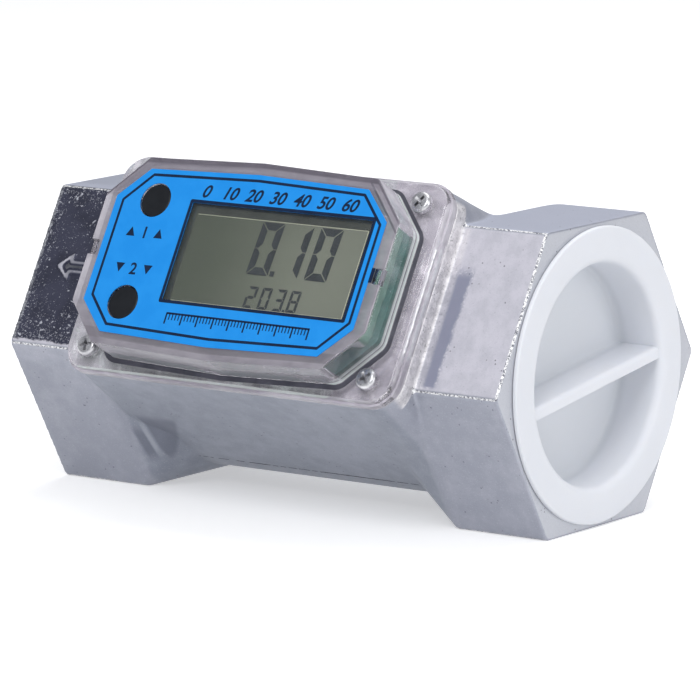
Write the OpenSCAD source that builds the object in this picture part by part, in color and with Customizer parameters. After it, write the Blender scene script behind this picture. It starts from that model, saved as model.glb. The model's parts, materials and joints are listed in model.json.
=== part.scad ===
// Digital turbine flow meter: a cast body with two hexagonal pipe ports, a turbine in its bore,
// and a battery powered display under a clear cover on one side.
//
// The flow axis is the X axis. The outlet end face lies at x = 0 and the inlet end faces +X.
// The meter lies on one flat of its hexagons, so that the display leans up and towards -Y.
// The display and what is under it are drawn standing up, along +Z, and laid over by lay_angle.

/* [Body casting] */
// Length of the casting between its two end faces
body_len = 146; // [142:1:160]
// Size across the flats of the hexagonal collars
hex_af = 74; // [73:0.5:80]
// Rounding of the collars' long corners
hex_corner_r = 2; // [1:0.25:4]
// Length of each hexagonal collar
collar_len = 26; // [24.5:0.5:28]
// Length of the taper from a collar to the barrel
taper_len = 12.5; // [8:0.5:16]
// Wall of the barrel between the collars, round the seat bore
barrel_wall = 6.4; // [5:0.2:8]
// Angle that the display is laid over, so that the body rests on a flat
lay_angle = 60; // [60:60:120]

/* [Ports and bore] */
// Wall radius of both pipe ports, at the pitch line of their threads
port_r = 29.2; // [28.6:0.1:30]
// Depth of both pipe ports
port_depth = 25; // [22:0.5:27]
// Step in from the ports to the bore where the turbine supports sit
port_shoulder = 2.6; // [2:0.1:3]
// Step in from there to the bore round the rotor
seat_shoulder = 1.2; // [0.8:0.1:2]
// Room beside the rotor hub, at each end, in the rotor's bore
rotor_room = 5; // [4:0.5:7]

/* [Electronics housing in the body] */
// Least height of the deck above the display flat of the hexagons
deck_rise = 4.2; // [3.5:0.1:6]
// Wall between the seat bore and the electronics pocket
pocket_wall = 3.4; // [2.5:0.1:4]
// Wall between the rotor bore and the coil well
well_wall = 2; // [1.5:0.1:2.5]
// Depth of the tapped holes below the cover screws' tips
tapped_spare = 1.8; // [0.5:0.1:3]

/* [Flow arrow] */
// Distance from the outlet face to the arrow's tip
arrow_tip_x = 6.8; // [4:0.1:9]
// Length of the arrow's head
arrow_head_len = 4.6; // [3:0.1:6]
// Width of the arrow's head
arrow_head_w = 7.6; // [5:0.1:10]
// Length of the arrow's tail
arrow_tail_len = 8.4; // [5:0.1:10]
// Width of the arrow's tail
arrow_tail_w = 3.2; // [2.5:0.1:4]
// Width of the arrow's raised line
arrow_line = 0.8; // [0.4:0.1:1]
// Height of the arrow's raised line
arrow_rise = 0.5; // [0.2:0.1:1]

/* [Turbine] */
// Radius of the rotor hub and of the support hubs
hub_r = 9; // [8:0.25:10]
// Length of the rotor hub
rotor_len = 22; // [20:0.5:24]
// Number of rotor blades
blade_count = 6; // [4:1:8]
// Chord of each blade
blade_chord = 22; // [18:0.5:23]
// Thickness of each blade
blade_t = 1.6; // [1.2:0.1:2.2]
// Pitch of the blades to the flow
blade_pitch = 35; // [25:1:40]
// Gap between the blade tips and the bore
tip_gap = 0.5; // [0.3:0.1:1]
// Radius of the fixed shaft
shaft_r = 1.5; // [1.2:0.1:2]
// Depth of the shaft's sockets in the supports
shaft_socket = 7; // [5:0.5:8]
// Outer radius of the rotor's bushings
bushing_r = 3.5; // [3:0.1:4]
// Length of each bushing
bushing_len = 5; // [4:0.5:7]
// Radius of each rotor magnet
magnet_r = 2; // [1.5:0.1:2.2]
// Height of each rotor magnet
magnet_h = 2.7; // [2:0.1:3]
// Outer radius of each thrust washer
washer_r = 4; // [3:0.1:6]
// Thickness of each thrust washer
washer_t = 0.8; // [0.5:0.1:1.2]

/* [Turbine supports] */
// Length of a support's ring and vanes
support_len = 12; // [9:0.5:14]
// Wall of a support's ring
support_wall = 1.7; // [1.2:0.1:2.2]
// Number of vanes in each support
vane_count = 4; // [3:1:6]
// Thickness of each vane
vane_t = 2.4; // [1.6:0.1:3]
// Length of a support hub's nose
nose_len = 10; // [6:0.5:14]
// Radius at the tip of a support hub's nose
nose_r = 3; // [2:0.25:5]
// Thickness of each retaining ring
ring_t = 1.4; // [1:0.1:1.8]
// Depth of each retaining ring's groove
ring_groove = 1.4; // [1:0.1:1.6]
// How far a retaining ring stands into the bore
ring_stand = 1.3; // [1:0.1:1.6]
// Open angle of a retaining ring
ring_open_angle = 36; // [20:1:60]
// Radius of the lug holes at a retaining ring's ends
ring_lug_hole_r = 0.6; // [0.4:0.1:0.7]

/* [Clear cover] */
// Length of the cover's flange
flange_len = 99; // [86:0.5:106]
// Width of the cover's flange
flange_w = 57.4; // [50:0.2:64]
// Thickness of the cover's flange
flange_t = 3.3; // [2.8:0.1:4]
// Corner radius of the cover's flange
flange_corner_r = 7; // [5:0.5:8]
// Width of the step round the flange's upper edge
flange_step = 0.6; // [0.3:0.1:1]
// How far the deck stays inside the flange
deck_inset = 0.2; // [0:0.1:0.5]
// Width of the flange left bare at each end of the dome
dome_end_margin = 5.5; // [5.1:0.1:6.2]
// Width of the flange left bare at the middle of each side of the dome
dome_side_margin = 2.9; // [2.5:0.1:3.2]
// How far the dome's long sides rise to the middle
dome_crown = 1.2; // [0.5:0.1:1.5]
// Length of the dome's cut corners
dome_cut_x = 9.8; // [9.4:0.1:11]
// Width of the dome's cut corners
dome_cut_y = 10.4; // [9.8:0.1:11]
// Height of the dome above the flange
dome_h = 9.5; // [9:0.1:10.5]
// Width of the notch in the roof's border at each end
notch_w = 4; // [3:0.1:6]
// Length of each notch
notch_len = 2.7; // [2:0.1:3]
// Depth of each notch
notch_depth = 1.2; // [0.8:0.1:1.4]
// Wall thickness of the dome
cover_t = 2; // [1.6:0.1:2.2]
// Thickness of the dome's roof
roof_t = 1.8; // [1.4:0.1:2.2]
// Thickness of the gasket under the flange
gasket_t = 0.5; // [0.3:0.1:1]

/* [Face label] */
// Width of the roof left bare at each end of the label
label_end_margin = 3.7; // [3.3:0.1:4.2]
// Width of the roof left bare at the middle of each side of the label
label_side_margin = 3.4; // [3:0.1:4]
// How far the label's long sides rise to the middle
label_crown = 1; // [0.5:0.1:1.3]
// Length of the label's cut corners
label_cut_x = 7.8; // [7.4:0.1:8.4]
// Width of the label's cut corners
label_cut_y = 7.7; // [7.3:0.1:8.3]
// Thickness of the label
label_t = 0.2; // [0.1:0.05:0.4]
// Width of the label beyond the display window's end
window_end_margin = 2.8; // [2.8:0.1:8]
// Width of the label above the display window
window_top_margin = 8.2; // [8.2:0.1:10]
// Width of the label below the display window
window_low_margin = 9.6; // [9:0.1:11]
// Distance of the window's near edge from the middle of the buttons
window_gap = 10.9; // [10.4:0.1:14]

/* [Buttons] */
// Radius of each button
button_r = 4.4; // [3.5:0.1:4.8]
// Distance of the buttons from the label's end
button_end = 11.9; // [11:0.1:13]
// Distance of each button from the label's side
button_side = 9; // [8.5:0.1:10]
// How far each button presses in
button_travel = 0.8; // [0.3:0.1:1]

/* [Circuit and display] */
// Thickness of the circuit board
board_t = 1.6; // [1:0.1:2]
// Depth of the board's upper face below the cover's roof
board_depth = 5.7; // [5.4:0.1:6.4]
// Least room between the batteries and the board
board_room = 3.6; // [3:0.1:5]
// Thickness of the display glass
glass_t = 2.2; // [1.5:0.1:2.6]
// Radius of each battery
battery_r = 5.25; // [5:0.05:5.4]
// Length of each battery with its nub
battery_len = 44.5; // [42:0.5:46]
// Outer radius of the pickup coil's bobbin
coil_r = 5.8; // [5:0.1:6.2]
// Height of the pickup coil's bobbin
coil_h = 7.5; // [6:0.1:8.5]

/* [Cover screws] */
// Radius of each cover screw's head
screw_head_r = 2.7; // [2.3:0.05:2.75]
// Height of each cover screw's head
screw_head_h = 1.9; // [1.5:0.1:2.4]
// Radius of each cover screw's shank
screw_r = 1.5; // [1.2:0.05:1.6]
// Length of each cover screw's shank
screw_len = 11; // [9:0.5:12]
// Distance of the screws from the flange's short edges
screw_edge_x = 7.7; // [7.2:0.1:7.8]
// Distance of the screws from the flange's long edges
screw_edge_y = 6.1; // [5.5:0.1:6.2]

/* [Inlet cap] */
// How far the cap's rim stays inside the flats of the collar
cap_rim_inset = 1; // [0.5:0.25:3]
// Thickness of the cap's rim
cap_rim_t = 1.05; // [0.8:0.05:2]
// Gap between the cap's skirt and the port
cap_gap = 1.1; // [0.8:0.1:1.4]
// Wall of the cap's skirt
cap_wall = 1.1; // [0.9:0.1:1.5]
// Length of the cap's skirt
cap_skirt_len = 20; // [16:0.5:22]
// Depth of the cap's recess below the rim
cap_recess = 12.25; // [8:0.25:14]
// Thickness of the cap's floor
cap_floor_t = 1.5; // [1:0.1:2.5]
// Radius of the rounding at the recess's mouth
cap_lip_r = 1.5; // [0.8:0.1:2.5]
// Thickness of the cap's grip bar
grip_t = 3; // [1:0.1:4]
// How far the middle of the grip bar lies below the port's axis
grip_low = 2.1; // [0:0.1:3]
// How far the grip bar stays below the rim
grip_drop = 1; // [0.5:0.1:3]
// Turn of the grip bar from level
grip_angle = 8; // [-30:1:30]

/* [Hidden] */
$fn = 96;

// Segments round the shapes that are hulled
hull_fn = 32;
// Steps in each rounded corner of an outline
corner_steps = 6;
// How far a cut runs past the face it opens
over = 0.5;
// Thickness of the sheets that a hull is stretched between
sheet = 0.02;
// Clearance of a part pressed or screwed into its seat
seat_gap = 0.02;
// Radial clearance of a running fit
run_gap = 0.03;
// Clearance between flat faces that pass each other
face_gap = 0.15;
// Clearance of a part dropped into its place
drop_gap = 0.3;

mid_x = body_len / 2;
hex_flat = hex_af / 2;
hex_corner = hex_af / sqrt(3);

seat_bore_r = port_r - port_shoulder;
rotor_bore_r = seat_bore_r - seat_shoulder;
rotor_bore_len = rotor_len + 2 * rotor_room;
barrel_r = seat_bore_r + barrel_wall;

// Heights along the display's own axis, from the flow axis outward
pocket_z = seat_bore_r + pocket_wall;
well_z = rotor_bore_r + well_wall;
tray_floor_t = 1.2;
contact_gap = 0.1;
battery_z = pocket_z + tray_floor_t + battery_r + contact_gap;
board_over_deck = gasket_t + flange_t + dome_h - roof_t - board_depth - board_t;
// The deck clears both the hexagons and the batteries that hang the board above them
deck_z = max(hex_flat + deck_rise, battery_z + battery_r + board_room - board_over_deck);
flange_z = deck_z + gasket_t;
flange_top_z = flange_z + flange_t;
roof_z = flange_top_z + dome_h;
roof_under_z = roof_z - roof_t;
label_top_z = roof_z + label_t;
board_z = deck_z + board_over_deck;
board_top_z = board_z + board_t;

deck_half_w = flange_w / 2 - deck_inset;
deck_half_len = flange_len / 2 - deck_inset;
deck_r = hypot(deck_half_w, deck_z);
// Angle from the display's axis at which the housing's side meets the barrel
side_angle = atan2(deck_half_w, deck_z) + acos(barrel_r / deck_r);
side_half_w = barrel_r * sin(side_angle);
side_z = barrel_r * cos(side_angle);

screw_x = flange_len / 2 - screw_edge_x;
screw_y = flange_w / 2 - screw_edge_y;
tapped_z = flange_top_z - screw_len - tapped_spare;

seat_end_x = mid_x - rotor_bore_len / 2;
support_x = seat_end_x - support_len;
groove_w = ring_t + face_gap;
groove_x = support_x - groove_w;
rotor_x = mid_x - rotor_len / 2;
support_hub_x = rotor_x - washer_t - 2 * face_gap;
blade_tip_r = rotor_bore_r - tip_gap;
// Share of the hub's radius at which a blade starts, inside it
blade_root_share = 0.55;
blade_root_r = blade_root_share * hub_r;
magnet_top_r = sqrt(hub_r * hub_r - magnet_r * magnet_r);

// Length of a hypotenuse
function hypot(a, b) = sqrt(a * a + b * b);

// Unit vector that points to the left of the line from a to b
function left_of(a, b) =
    let (d = b - a, len = hypot(d[0], d[1])) [-d[1] / len, d[0] / len];

// A point of an anticlockwise outline, moved in from both its edges by t
function moved_in(points, i, t) =
    let (
        n = len(points),
        before = left_of(points[(i + n - 1) % n], points[i]),
        after = left_of(points[i], points[(i + 1) % n])
    )
    points[i] + t * (before + after) / (1 + before * after);

// An anticlockwise outline drawn in by t on every side
function inset(points, t) = [for (i = [0:len(points) - 1]) moved_in(points, i, t)];

// An anticlockwise outline with each corner rounded to radius r
function rounded(points, r) =
    let (n = len(points))
    [
        for (i = [0:n - 1])
        let (
            before = left_of(points[(i + n - 1) % n], points[i]),
            after = left_of(points[i], points[(i + 1) % n]),
            centre = moved_in(points, i, r),
            from = atan2(-before[1], -before[0]),
            turn = acos(min(1, before * after))
        )
        for (k = [0:corner_steps])
        centre + r * [cos(from + turn * k / corner_steps), sin(from + turn * k / corner_steps)]
    ];

function rectangle(x0, y0, x1, y1) = [[x0, y0], [x1, y0], [x1, y1], [x0, y1]];

function centred_rectangle(length, width) =
    rectangle(-length / 2, -width / 2, length / 2, width / 2);

// A ten-sided outline with cut corners, and long sides that rise to their middle
function crowned_outline(half_len, half_w, crown, cut_x, cut_y) =
    let (x = half_len, y = half_w - crown, side_x = x - cut_x, end_y = y - cut_y)
    [
        [side_x, -y], [x, -end_y], [x, end_y], [side_x, y], [0, half_w],
        [-side_x, y], [-x, end_y], [-x, -end_y], [-side_x, -y], [0, -half_w]
    ];

dome_half_len = flange_len / 2 - dome_end_margin;
dome_half_w = flange_w / 2 - dome_side_margin;
dome_outline = crowned_outline(dome_half_len, dome_half_w, dome_crown, dome_cut_x, dome_cut_y);
cavity_outline = inset(dome_outline, cover_t);
label_half_len = dome_half_len - label_end_margin;
label_half_w = dome_half_w - label_side_margin;
label_outline = crowned_outline(label_half_len, label_half_w, label_crown, label_cut_x, label_cut_y);
button_x = label_half_len - button_end;
button_y = label_half_w - button_side;
window_near_x = window_gap - button_x;
window_far_x = label_half_len - window_end_margin;
window_low_y = window_low_margin - label_half_w;
window_top_y = label_half_w - window_top_margin;
window_len = window_far_x - window_near_x;
window_w = window_top_y - window_low_y;
window_x = (window_near_x + window_far_x) / 2;
window_y = (window_low_y + window_top_y) / 2;
dome_corner_r = 2.5;
cavity_corner_r = 1.5;

hexagon = [for (i = [0:5]) hex_corner * [cos(60 * i), sin(60 * i)]];

// Lays what is drawn standing up over to where the display looks
module laid() {
    rotate([lay_angle, 0, 0])
        children();
}

// The same, with x counted from the middle of the body
module on_face(z) {
    laid()
        translate([mid_x, 0, z])
            children();
}

// A round bar along the flow axis
module rod(x, length, r) {
    translate([x, 0, 0])
        rotate([0, 90, 0])
            cylinder(r = r, h = length);
}

// An outline in the plane across the flow axis, extruded along it
module along_flow(x, length, points) {
    translate([x, 0, 0])
        rotate([90, 0, 90])
            linear_extrude(length)
                polygon(points);
}

// An outline in the display's plane, extruded outward from z
module slab(z, height, points) {
    translate([0, 0, z])
        linear_extrude(height)
            polygon(points);
}

// What is drawn at one end, and its mirror image at the other
module both_ends() {
    children();
    translate([body_len, 0, 0])
        mirror([1, 0, 0])
            children();
}

module at_cover_screws(z) {
    for (sx = [-1, 1], sy = [-1, 1])
        translate([sx * screw_x, sy * screw_y, z])
            children();
}

// BODY

module collar() {
    along_flow(0, collar_len, rounded(hexagon, hex_corner_r));
    hull() {
        along_flow(collar_len - sheet, sheet, rounded(hexagon, hex_corner_r));
        translate([collar_len + taper_len, 0, 0])
            rotate([0, 90, 0])
                cylinder(r = barrel_r, h = sheet, $fn = 2 * hull_fn);
    }
}

// The raised housing that carries the display, with sides that run down to the barrel
module housing() {
    translate([mid_x, 0, 0])
        hull() {
            slab(deck_z - sheet, sheet, rounded(
                centred_rectangle(2 * deck_half_len, 2 * deck_half_w), flange_corner_r
            ));
            slab(side_z, sheet, rounded(
                centred_rectangle(2 * deck_half_len, 2 * side_half_w), flange_corner_r
            ));
        }
}

arrow_back_x = arrow_tip_x + arrow_head_len;
arrow_end_x = arrow_back_x + arrow_tail_len;

module arrow_outline(inset_by) {
    head_y = arrow_head_w / 2 - 2 * inset_by;
    tail_y = arrow_tail_w / 2 - inset_by;
    polygon([
        [arrow_tip_x + 2 * inset_by, 0],
        [arrow_back_x - inset_by, -head_y],
        [arrow_back_x - inset_by, -tail_y],
        [arrow_end_x - inset_by, -tail_y],
        [arrow_end_x - inset_by, tail_y],
        [arrow_back_x - inset_by, tail_y],
        [arrow_back_x - inset_by, head_y]
    ]);
}

module flow_arrow() {
    translate([0, 0, hex_flat - sheet])
        linear_extrude(arrow_rise + sheet)
            difference() {
                arrow_outline(0);
                arrow_outline(arrow_line);
            }
}

// The port, the seat bore and the retaining ring's groove at one end
module port_cuts() {
    rod(-over, port_depth + over, port_r);
    rod(port_depth - sheet, seat_end_x - port_depth + sheet, seat_bore_r);
    rod(groove_x, groove_w, seat_bore_r + ring_groove);
}

module body() {
    color("silver")
        laid()
            difference() {
                union() {
                    both_ends()
                        collar();
                    rod(collar_len, body_len - 2 * collar_len, barrel_r);
                    housing();
                    flow_arrow();
                }
                both_ends()
                    port_cuts();
                rod(seat_end_x - over, rotor_bore_len + 2 * over, rotor_bore_r);
                translate([mid_x, 0, 0]) {
                    slab(pocket_z, deck_z - pocket_z + over, rounded(cavity_outline, cavity_corner_r));
                    translate([0, 0, well_z])
                        cylinder(r = coil_r + drop_gap, h = pocket_z - well_z + over);
                    at_cover_screws(tapped_z)
                        cylinder(r = screw_r + seat_gap, h = deck_z - tapped_z + over);
                }
            }
}

// TURBINE

support_r = seat_bore_r - seat_gap;
support_bore_r = support_r - support_wall;
support_reach = support_hub_x - support_x;

// A support, with x = 0 at its outer face and the rotor at +x
module support() {
    difference() {
        union() {
            difference() {
                rod(0, support_len, support_r);
                rod(-over, support_len + 2 * over, support_bore_r);
            }
            for (i = [0:vane_count - 1])
                rotate([180 / vane_count + 360 * i / vane_count, 0, 0])
                    translate([0, -vane_t / 2, 0])
                        cube([support_len, vane_t, support_bore_r + support_wall / 2]);
            rod(0, support_reach, hub_r);
            translate([-nose_len, 0, 0])
                rotate([0, 90, 0])
                    cylinder(r1 = nose_r, r2 = hub_r, h = nose_len);
        }
        rod(support_reach - shaft_socket, shaft_socket + over, shaft_r + seat_gap);
    }
}

module outlet_support() {
    color("dimgray")
        translate([support_x, 0, 0])
            support();
}

module inlet_support() {
    color("dimgray")
        translate([body_len - support_x, 0, 0])
            mirror([1, 0, 0])
                support();
}

ring_outer_r = seat_bore_r + ring_groove - face_gap;
ring_inner_r = seat_bore_r - ring_stand;
ring_mid_r = (ring_outer_r + ring_inner_r) / 2;
ring_open_w = 2 * ring_outer_r * sin(ring_open_angle / 2);
// Angle from a ring's end to its lug hole
ring_lug_angle = 4;

module retaining_ring() {
    difference() {
        rod(0, ring_t, ring_outer_r);
        rod(-over, ring_t + 2 * over, ring_inner_r);
        translate([-over, -ring_open_w / 2, -ring_outer_r - over])
            cube([ring_t + 2 * over, ring_open_w, ring_outer_r]);
        for (side = [-1, 1])
            rotate([side * (ring_open_angle / 2 + ring_lug_angle) + 180, 0, 0])
                translate([0, 0, ring_mid_r])
                    rod(-over, ring_t + 2 * over, ring_lug_hole_r);
    }
}

module retaining_rings() {
    color("slategray")
        both_ends()
            translate([groove_x + face_gap / 2, 0, 0])
                retaining_ring();
}

module rotor_shaft() {
    color("gainsboro")
        rod(
            support_hub_x - shaft_socket + face_gap,
            body_len - 2 * (support_hub_x - shaft_socket + face_gap),
            shaft_r
        );
}

module thrust_washers() {
    color("khaki")
        both_ends()
            difference() {
                rod(support_hub_x + face_gap, washer_t, washer_r);
                rod(support_hub_x, washer_t + 2 * face_gap, shaft_r + run_gap);
            }
}

module at_magnets() {
    for (turn = [0, 180])
        rotate([turn + 180 / blade_count, 0, 0])
            translate([mid_x, 0, 0])
                children();
}

module blade() {
    rotate([0, 0, blade_pitch])
        translate([-blade_chord / 2, -blade_t / 2, blade_root_r])
            cube([blade_chord, blade_t, blade_tip_r]);
}

module rotor() {
    color("ghostwhite")
        difference() {
            union() {
                rod(rotor_x, rotor_len, hub_r);
                intersection() {
                    rod(rotor_x, rotor_len, blade_tip_r);
                    for (i = [0:blade_count - 1])
                        rotate([360 * i / blade_count, 0, 0])
                            translate([mid_x, 0, 0])
                                blade();
                }
            }
            rod(rotor_x - over, rotor_len + 2 * over, shaft_r + drop_gap);
            both_ends()
                rod(rotor_x - over, bushing_len + over, bushing_r + seat_gap);
            at_magnets()
                translate([0, 0, magnet_top_r - magnet_h])
                    cylinder(r = magnet_r + seat_gap, h = magnet_h + over);
        }
}

module rotor_bushings() {
    color("peru")
        both_ends()
            difference() {
                rod(rotor_x, bushing_len, bushing_r);
                rod(rotor_x - over, bushing_len + 2 * over, shaft_r + run_gap);
            }
}

module rotor_magnets() {
    color("darkgray")
        at_magnets()
            translate([0, 0, magnet_top_r - magnet_h])
                cylinder(r = magnet_r, h = magnet_h);
}

// PICKUP COIL

bobbin_flange_t = 0.8;
bobbin_tube_r = 2.3;
winding_margin = 0.5;
core_r = 1.5;
core_stand = 1;
pin_r = 0.35;
pin_x = 3.6;
pin_tail = 0.5;
coil_z = well_z + seat_gap;
coil_top_z = coil_z + coil_h;

module coil_bobbin() {
    color("white")
        on_face(coil_z)
            difference() {
                union() {
                    cylinder(r = coil_r, h = bobbin_flange_t);
                    cylinder(r = bobbin_tube_r, h = coil_h);
                    translate([0, 0, coil_h - bobbin_flange_t])
                        cylinder(r = coil_r, h = bobbin_flange_t);
                }
                translate([0, 0, -over])
                    cylinder(r = core_r + seat_gap, h = coil_h + 2 * over);
            }
}

module coil_winding() {
    color("chocolate")
        on_face(coil_z + bobbin_flange_t + seat_gap)
            difference() {
                cylinder(r = coil_r - winding_margin, h = coil_h - 2 * (bobbin_flange_t + seat_gap));
                translate([0, 0, -over])
                    cylinder(r = bobbin_tube_r + seat_gap, h = coil_h);
            }
}

module coil_core() {
    color("dimgray")
        on_face(coil_z)
            cylinder(r = core_r, h = coil_h + core_stand);
}

// Two stiff pins carry the coil's signal up to the board
module coil_pins() {
    color("gold")
        on_face(coil_top_z)
            for (side = [-1, 1])
                translate([side * pin_x, 0, 0])
                    cylinder(r = pin_r, h = board_top_z + pin_tail - coil_top_z);
}

// BATTERIES

tray_end_t = 2;
tray_side_t = 0.6;
contact_t = 0.4;
contact_w = 7;
nub_r = 1.9;
nub_h = 0.8;
coil_bay_half_w = coil_r + drop_gap;
// The batteries lie on both sides of the coil
battery_y = coil_bay_half_w + tray_side_t + contact_gap + battery_r;
tray_len = battery_len + 2 * (2 * contact_gap + contact_t + tray_end_t);
tray_half_w = battery_y + battery_r + contact_gap + tray_side_t;
bay_len = tray_len - 2 * tray_end_t;

module at_batteries() {
    for (side = [-1, 1])
        translate([0, side * battery_y, battery_z])
            rotate([0, 0, 90 - 90 * side])
                children();
}

module battery_tray() {
    color("darkslategray")
        on_face(0)
            difference() {
                slab(pocket_z, battery_z - pocket_z, centred_rectangle(tray_len, 2 * tray_half_w));
                at_batteries()
                    rod(-bay_len / 2, bay_len, battery_r + contact_gap);
                slab(
                    pocket_z - over, battery_z - pocket_z + 2 * over,
                    centred_rectangle(bay_len - 2 * tray_end_t, 2 * coil_bay_half_w)
                );
            }
}

module batteries() {
    color("orangered")
        on_face(0)
            at_batteries() {
                rod(-battery_len / 2, battery_len - nub_h, battery_r);
                rod(battery_len / 2 - nub_h - sheet, nub_h + sheet, nub_r);
            }
}

contact_z = battery_z - battery_r / 2;

module battery_contacts() {
    color("lightsteelblue")
        on_face(0)
            for (sx = [-1, 1], sy = [-1, 1])
                translate([sx * (battery_len / 2 + contact_gap + contact_t / 2), sy * battery_y, contact_z])
                    translate([-contact_t / 2, -contact_w / 2, 0])
                        cube([contact_t, contact_w, board_z - contact_z]);
}

// CIRCUIT BOARD AND DISPLAY

board_gap = 0.5;
board_screw_r = 0.9;
board_screw_head_r = 1.9;
board_screw_head_h = 1.1;
board_screw_len = 5;
boss_r = 2.6;
boss_x = 12.5;
boss_shift = 1.5;
boss_edge = 2;
boss_y = dome_half_w - cover_t - boss_edge - boss_r;
pin_hole_r = 0.6;
chip_size = 10;
chip_t = 1.6;
crystal_edge = 5.2;
crystal_x = dome_half_len - cover_t - crystal_edge;
crystal_len = 8;
crystal_w = 3.2;
crystal_t = 2.4;
capacitor_r = 1.6;
capacitor_h = 3;
capacitor_gap = 1.3;
capacitor_y = chip_size / 2 + capacitor_r + capacitor_gap / 2;
switch_size = 6;
plunger_r = 1.6;
plunger_h = 0.3;
button_flange = 0.8;
button_flange_t = 1.1;
button_flange_gap = 0.4;
button_stem_r = 2;
button_stem_h = 0.65;
button_low = 0.1;
button_flange_z = roof_under_z - button_flange_gap - button_flange_t;
button_bottom_z = button_flange_z - button_stem_h;
// The switches fill the height between the board and the buttons' stems
switch_h = button_bottom_z - face_gap - button_travel - plunger_h - board_top_z;

module at_board_screws(z) {
    for (sx = [-1, 1], sy = [-1, 1])
        translate([boss_shift + sx * boss_x, sy * boss_y, z])
            children();
}

module circuit_board() {
    color("seagreen")
        on_face(0)
            difference() {
                slab(board_z, board_t, rounded(inset(cavity_outline, board_gap), cavity_corner_r));
                at_board_screws(board_z - over)
                    cylinder(r = board_screw_r + drop_gap, h = board_t + 2 * over);
                for (side = [-1, 1])
                    translate([side * pin_x, 0, board_z - over])
                        cylinder(r = pin_hole_r, h = board_t + 2 * over);
            }
}

module controller_chip() {
    color("black")
        on_face(0)
            translate([-button_x, 0, 0])
                slab(board_top_z, chip_t, centred_rectangle(chip_size, chip_size));
}

module quartz_crystal() {
    color("silver")
        on_face(0)
            translate([-crystal_x, 0, 0])
                slab(board_top_z, crystal_t, rounded(
                    centred_rectangle(crystal_w, crystal_len), crystal_w / 3
                ));
}

module capacitors() {
    color("navy")
        on_face(board_top_z)
            for (side = [-1, 1])
                translate([capacitor_x, side * capacitor_y, 0])
                    cylinder(r = capacitor_r, h = capacitor_h);
}

module at_buttons(z) {
    for (side = [-1, 1])
        translate([-button_x, side * button_y, z])
            children();
}

module tactile_switches() {
    color("dimgray")
        on_face(0)
            at_buttons(0) {
                slab(board_top_z, switch_h, centred_rectangle(switch_size, switch_size));
                translate([0, 0, board_top_z + switch_h - sheet])
                    cylinder(r = plunger_r, h = plunger_h + sheet);
            }
}

glass_edge = 1.2;
glass_gap = 0.2;
holder_wall = 0.8;
holder_shelf = 1.6;
holder_lip = 1;
holder_corner_r = 2;
strip_w = 1.8;
backing_t = 0.4;
glass_half_len = window_len / 2 + glass_edge;
glass_half_w = window_w / 2 + glass_edge;
glass_top_z = roof_under_z - glass_gap;
glass_z = glass_top_z - glass_t;
holder_half_len = glass_half_len + seat_gap + holder_wall;
holder_half_w = glass_half_w + seat_gap + holder_wall;
capacitor_x = window_x - holder_half_len - capacitor_gap - capacitor_r;

// What belongs to the display is centred on its window
module on_window() {
    on_face(0)
        translate([window_x, window_y, 0])
            children();
}

module lcd_holder() {
    color("whitesmoke")
        on_window()
            difference() {
                slab(board_top_z, glass_z + holder_lip - board_top_z, rounded(
                    centred_rectangle(2 * holder_half_len, 2 * holder_half_w), holder_corner_r
                ));
                slab(glass_z, glass_t, centred_rectangle(
                    2 * (glass_half_len + seat_gap), 2 * (glass_half_w + seat_gap)
                ));
                slab(board_top_z - over, glass_z - board_top_z + 2 * over, centred_rectangle(
                    2 * (glass_half_len - holder_shelf), 2 * (glass_half_w - holder_shelf)
                ));
            }
}

strip_y = glass_half_w - holder_shelf - seat_gap - strip_w;

// The rubber strips that join the glass to the board
module contact_strips() {
    color("dimgray")
        on_window()
            for (side = [0, 1])
                mirror([0, side, 0])
                    slab(board_top_z, glass_z - board_top_z, rectangle(
                        holder_shelf - glass_half_len + seat_gap, strip_y,
                        glass_half_len - holder_shelf - seat_gap, strip_y + strip_w
                    ));
}

module lcd_glass() {
    color("darkseagreen")
        on_window()
            slab(glass_z, glass_t, centred_rectangle(2 * glass_half_len, 2 * glass_half_w));
}

// The reflector behind the glass, between the two strips
module lcd_backing() {
    color("gray")
        on_window()
            slab(glass_z - backing_t, backing_t, centred_rectangle(
                2 * (glass_half_len - holder_shelf - seat_gap), 2 * (strip_y - seat_gap)
            ));
}

module board_screws() {
    color("lightgray")
        on_face(0)
            at_board_screws(board_z - board_screw_head_h) {
                cylinder(r = board_screw_head_r, h = board_screw_head_h);
                cylinder(r = board_screw_r, h = board_screw_head_h + board_screw_len);
            }
}

// COVER

gasket_lip = 1.2;
screw_hole_gap = 0.2;

module cover_gasket() {
    color("dimgray")
        on_face(0)
            difference() {
                slab(deck_z, gasket_t, rounded(
                    centred_rectangle(2 * deck_half_len, 2 * deck_half_w), flange_corner_r
                ));
                slab(deck_z - over, gasket_t + 2 * over, rounded(
                    inset(cavity_outline, -gasket_lip), cavity_corner_r
                ));
                at_cover_screws(deck_z - over)
                    cylinder(r = screw_r + screw_hole_gap, h = gasket_t + 2 * over);
            }
}

module at_button_holes() {
    at_buttons(roof_under_z - over)
        cylinder(r = button_r + 2 * run_gap, h = roof_t + label_t + 2 * over);
}

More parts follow.
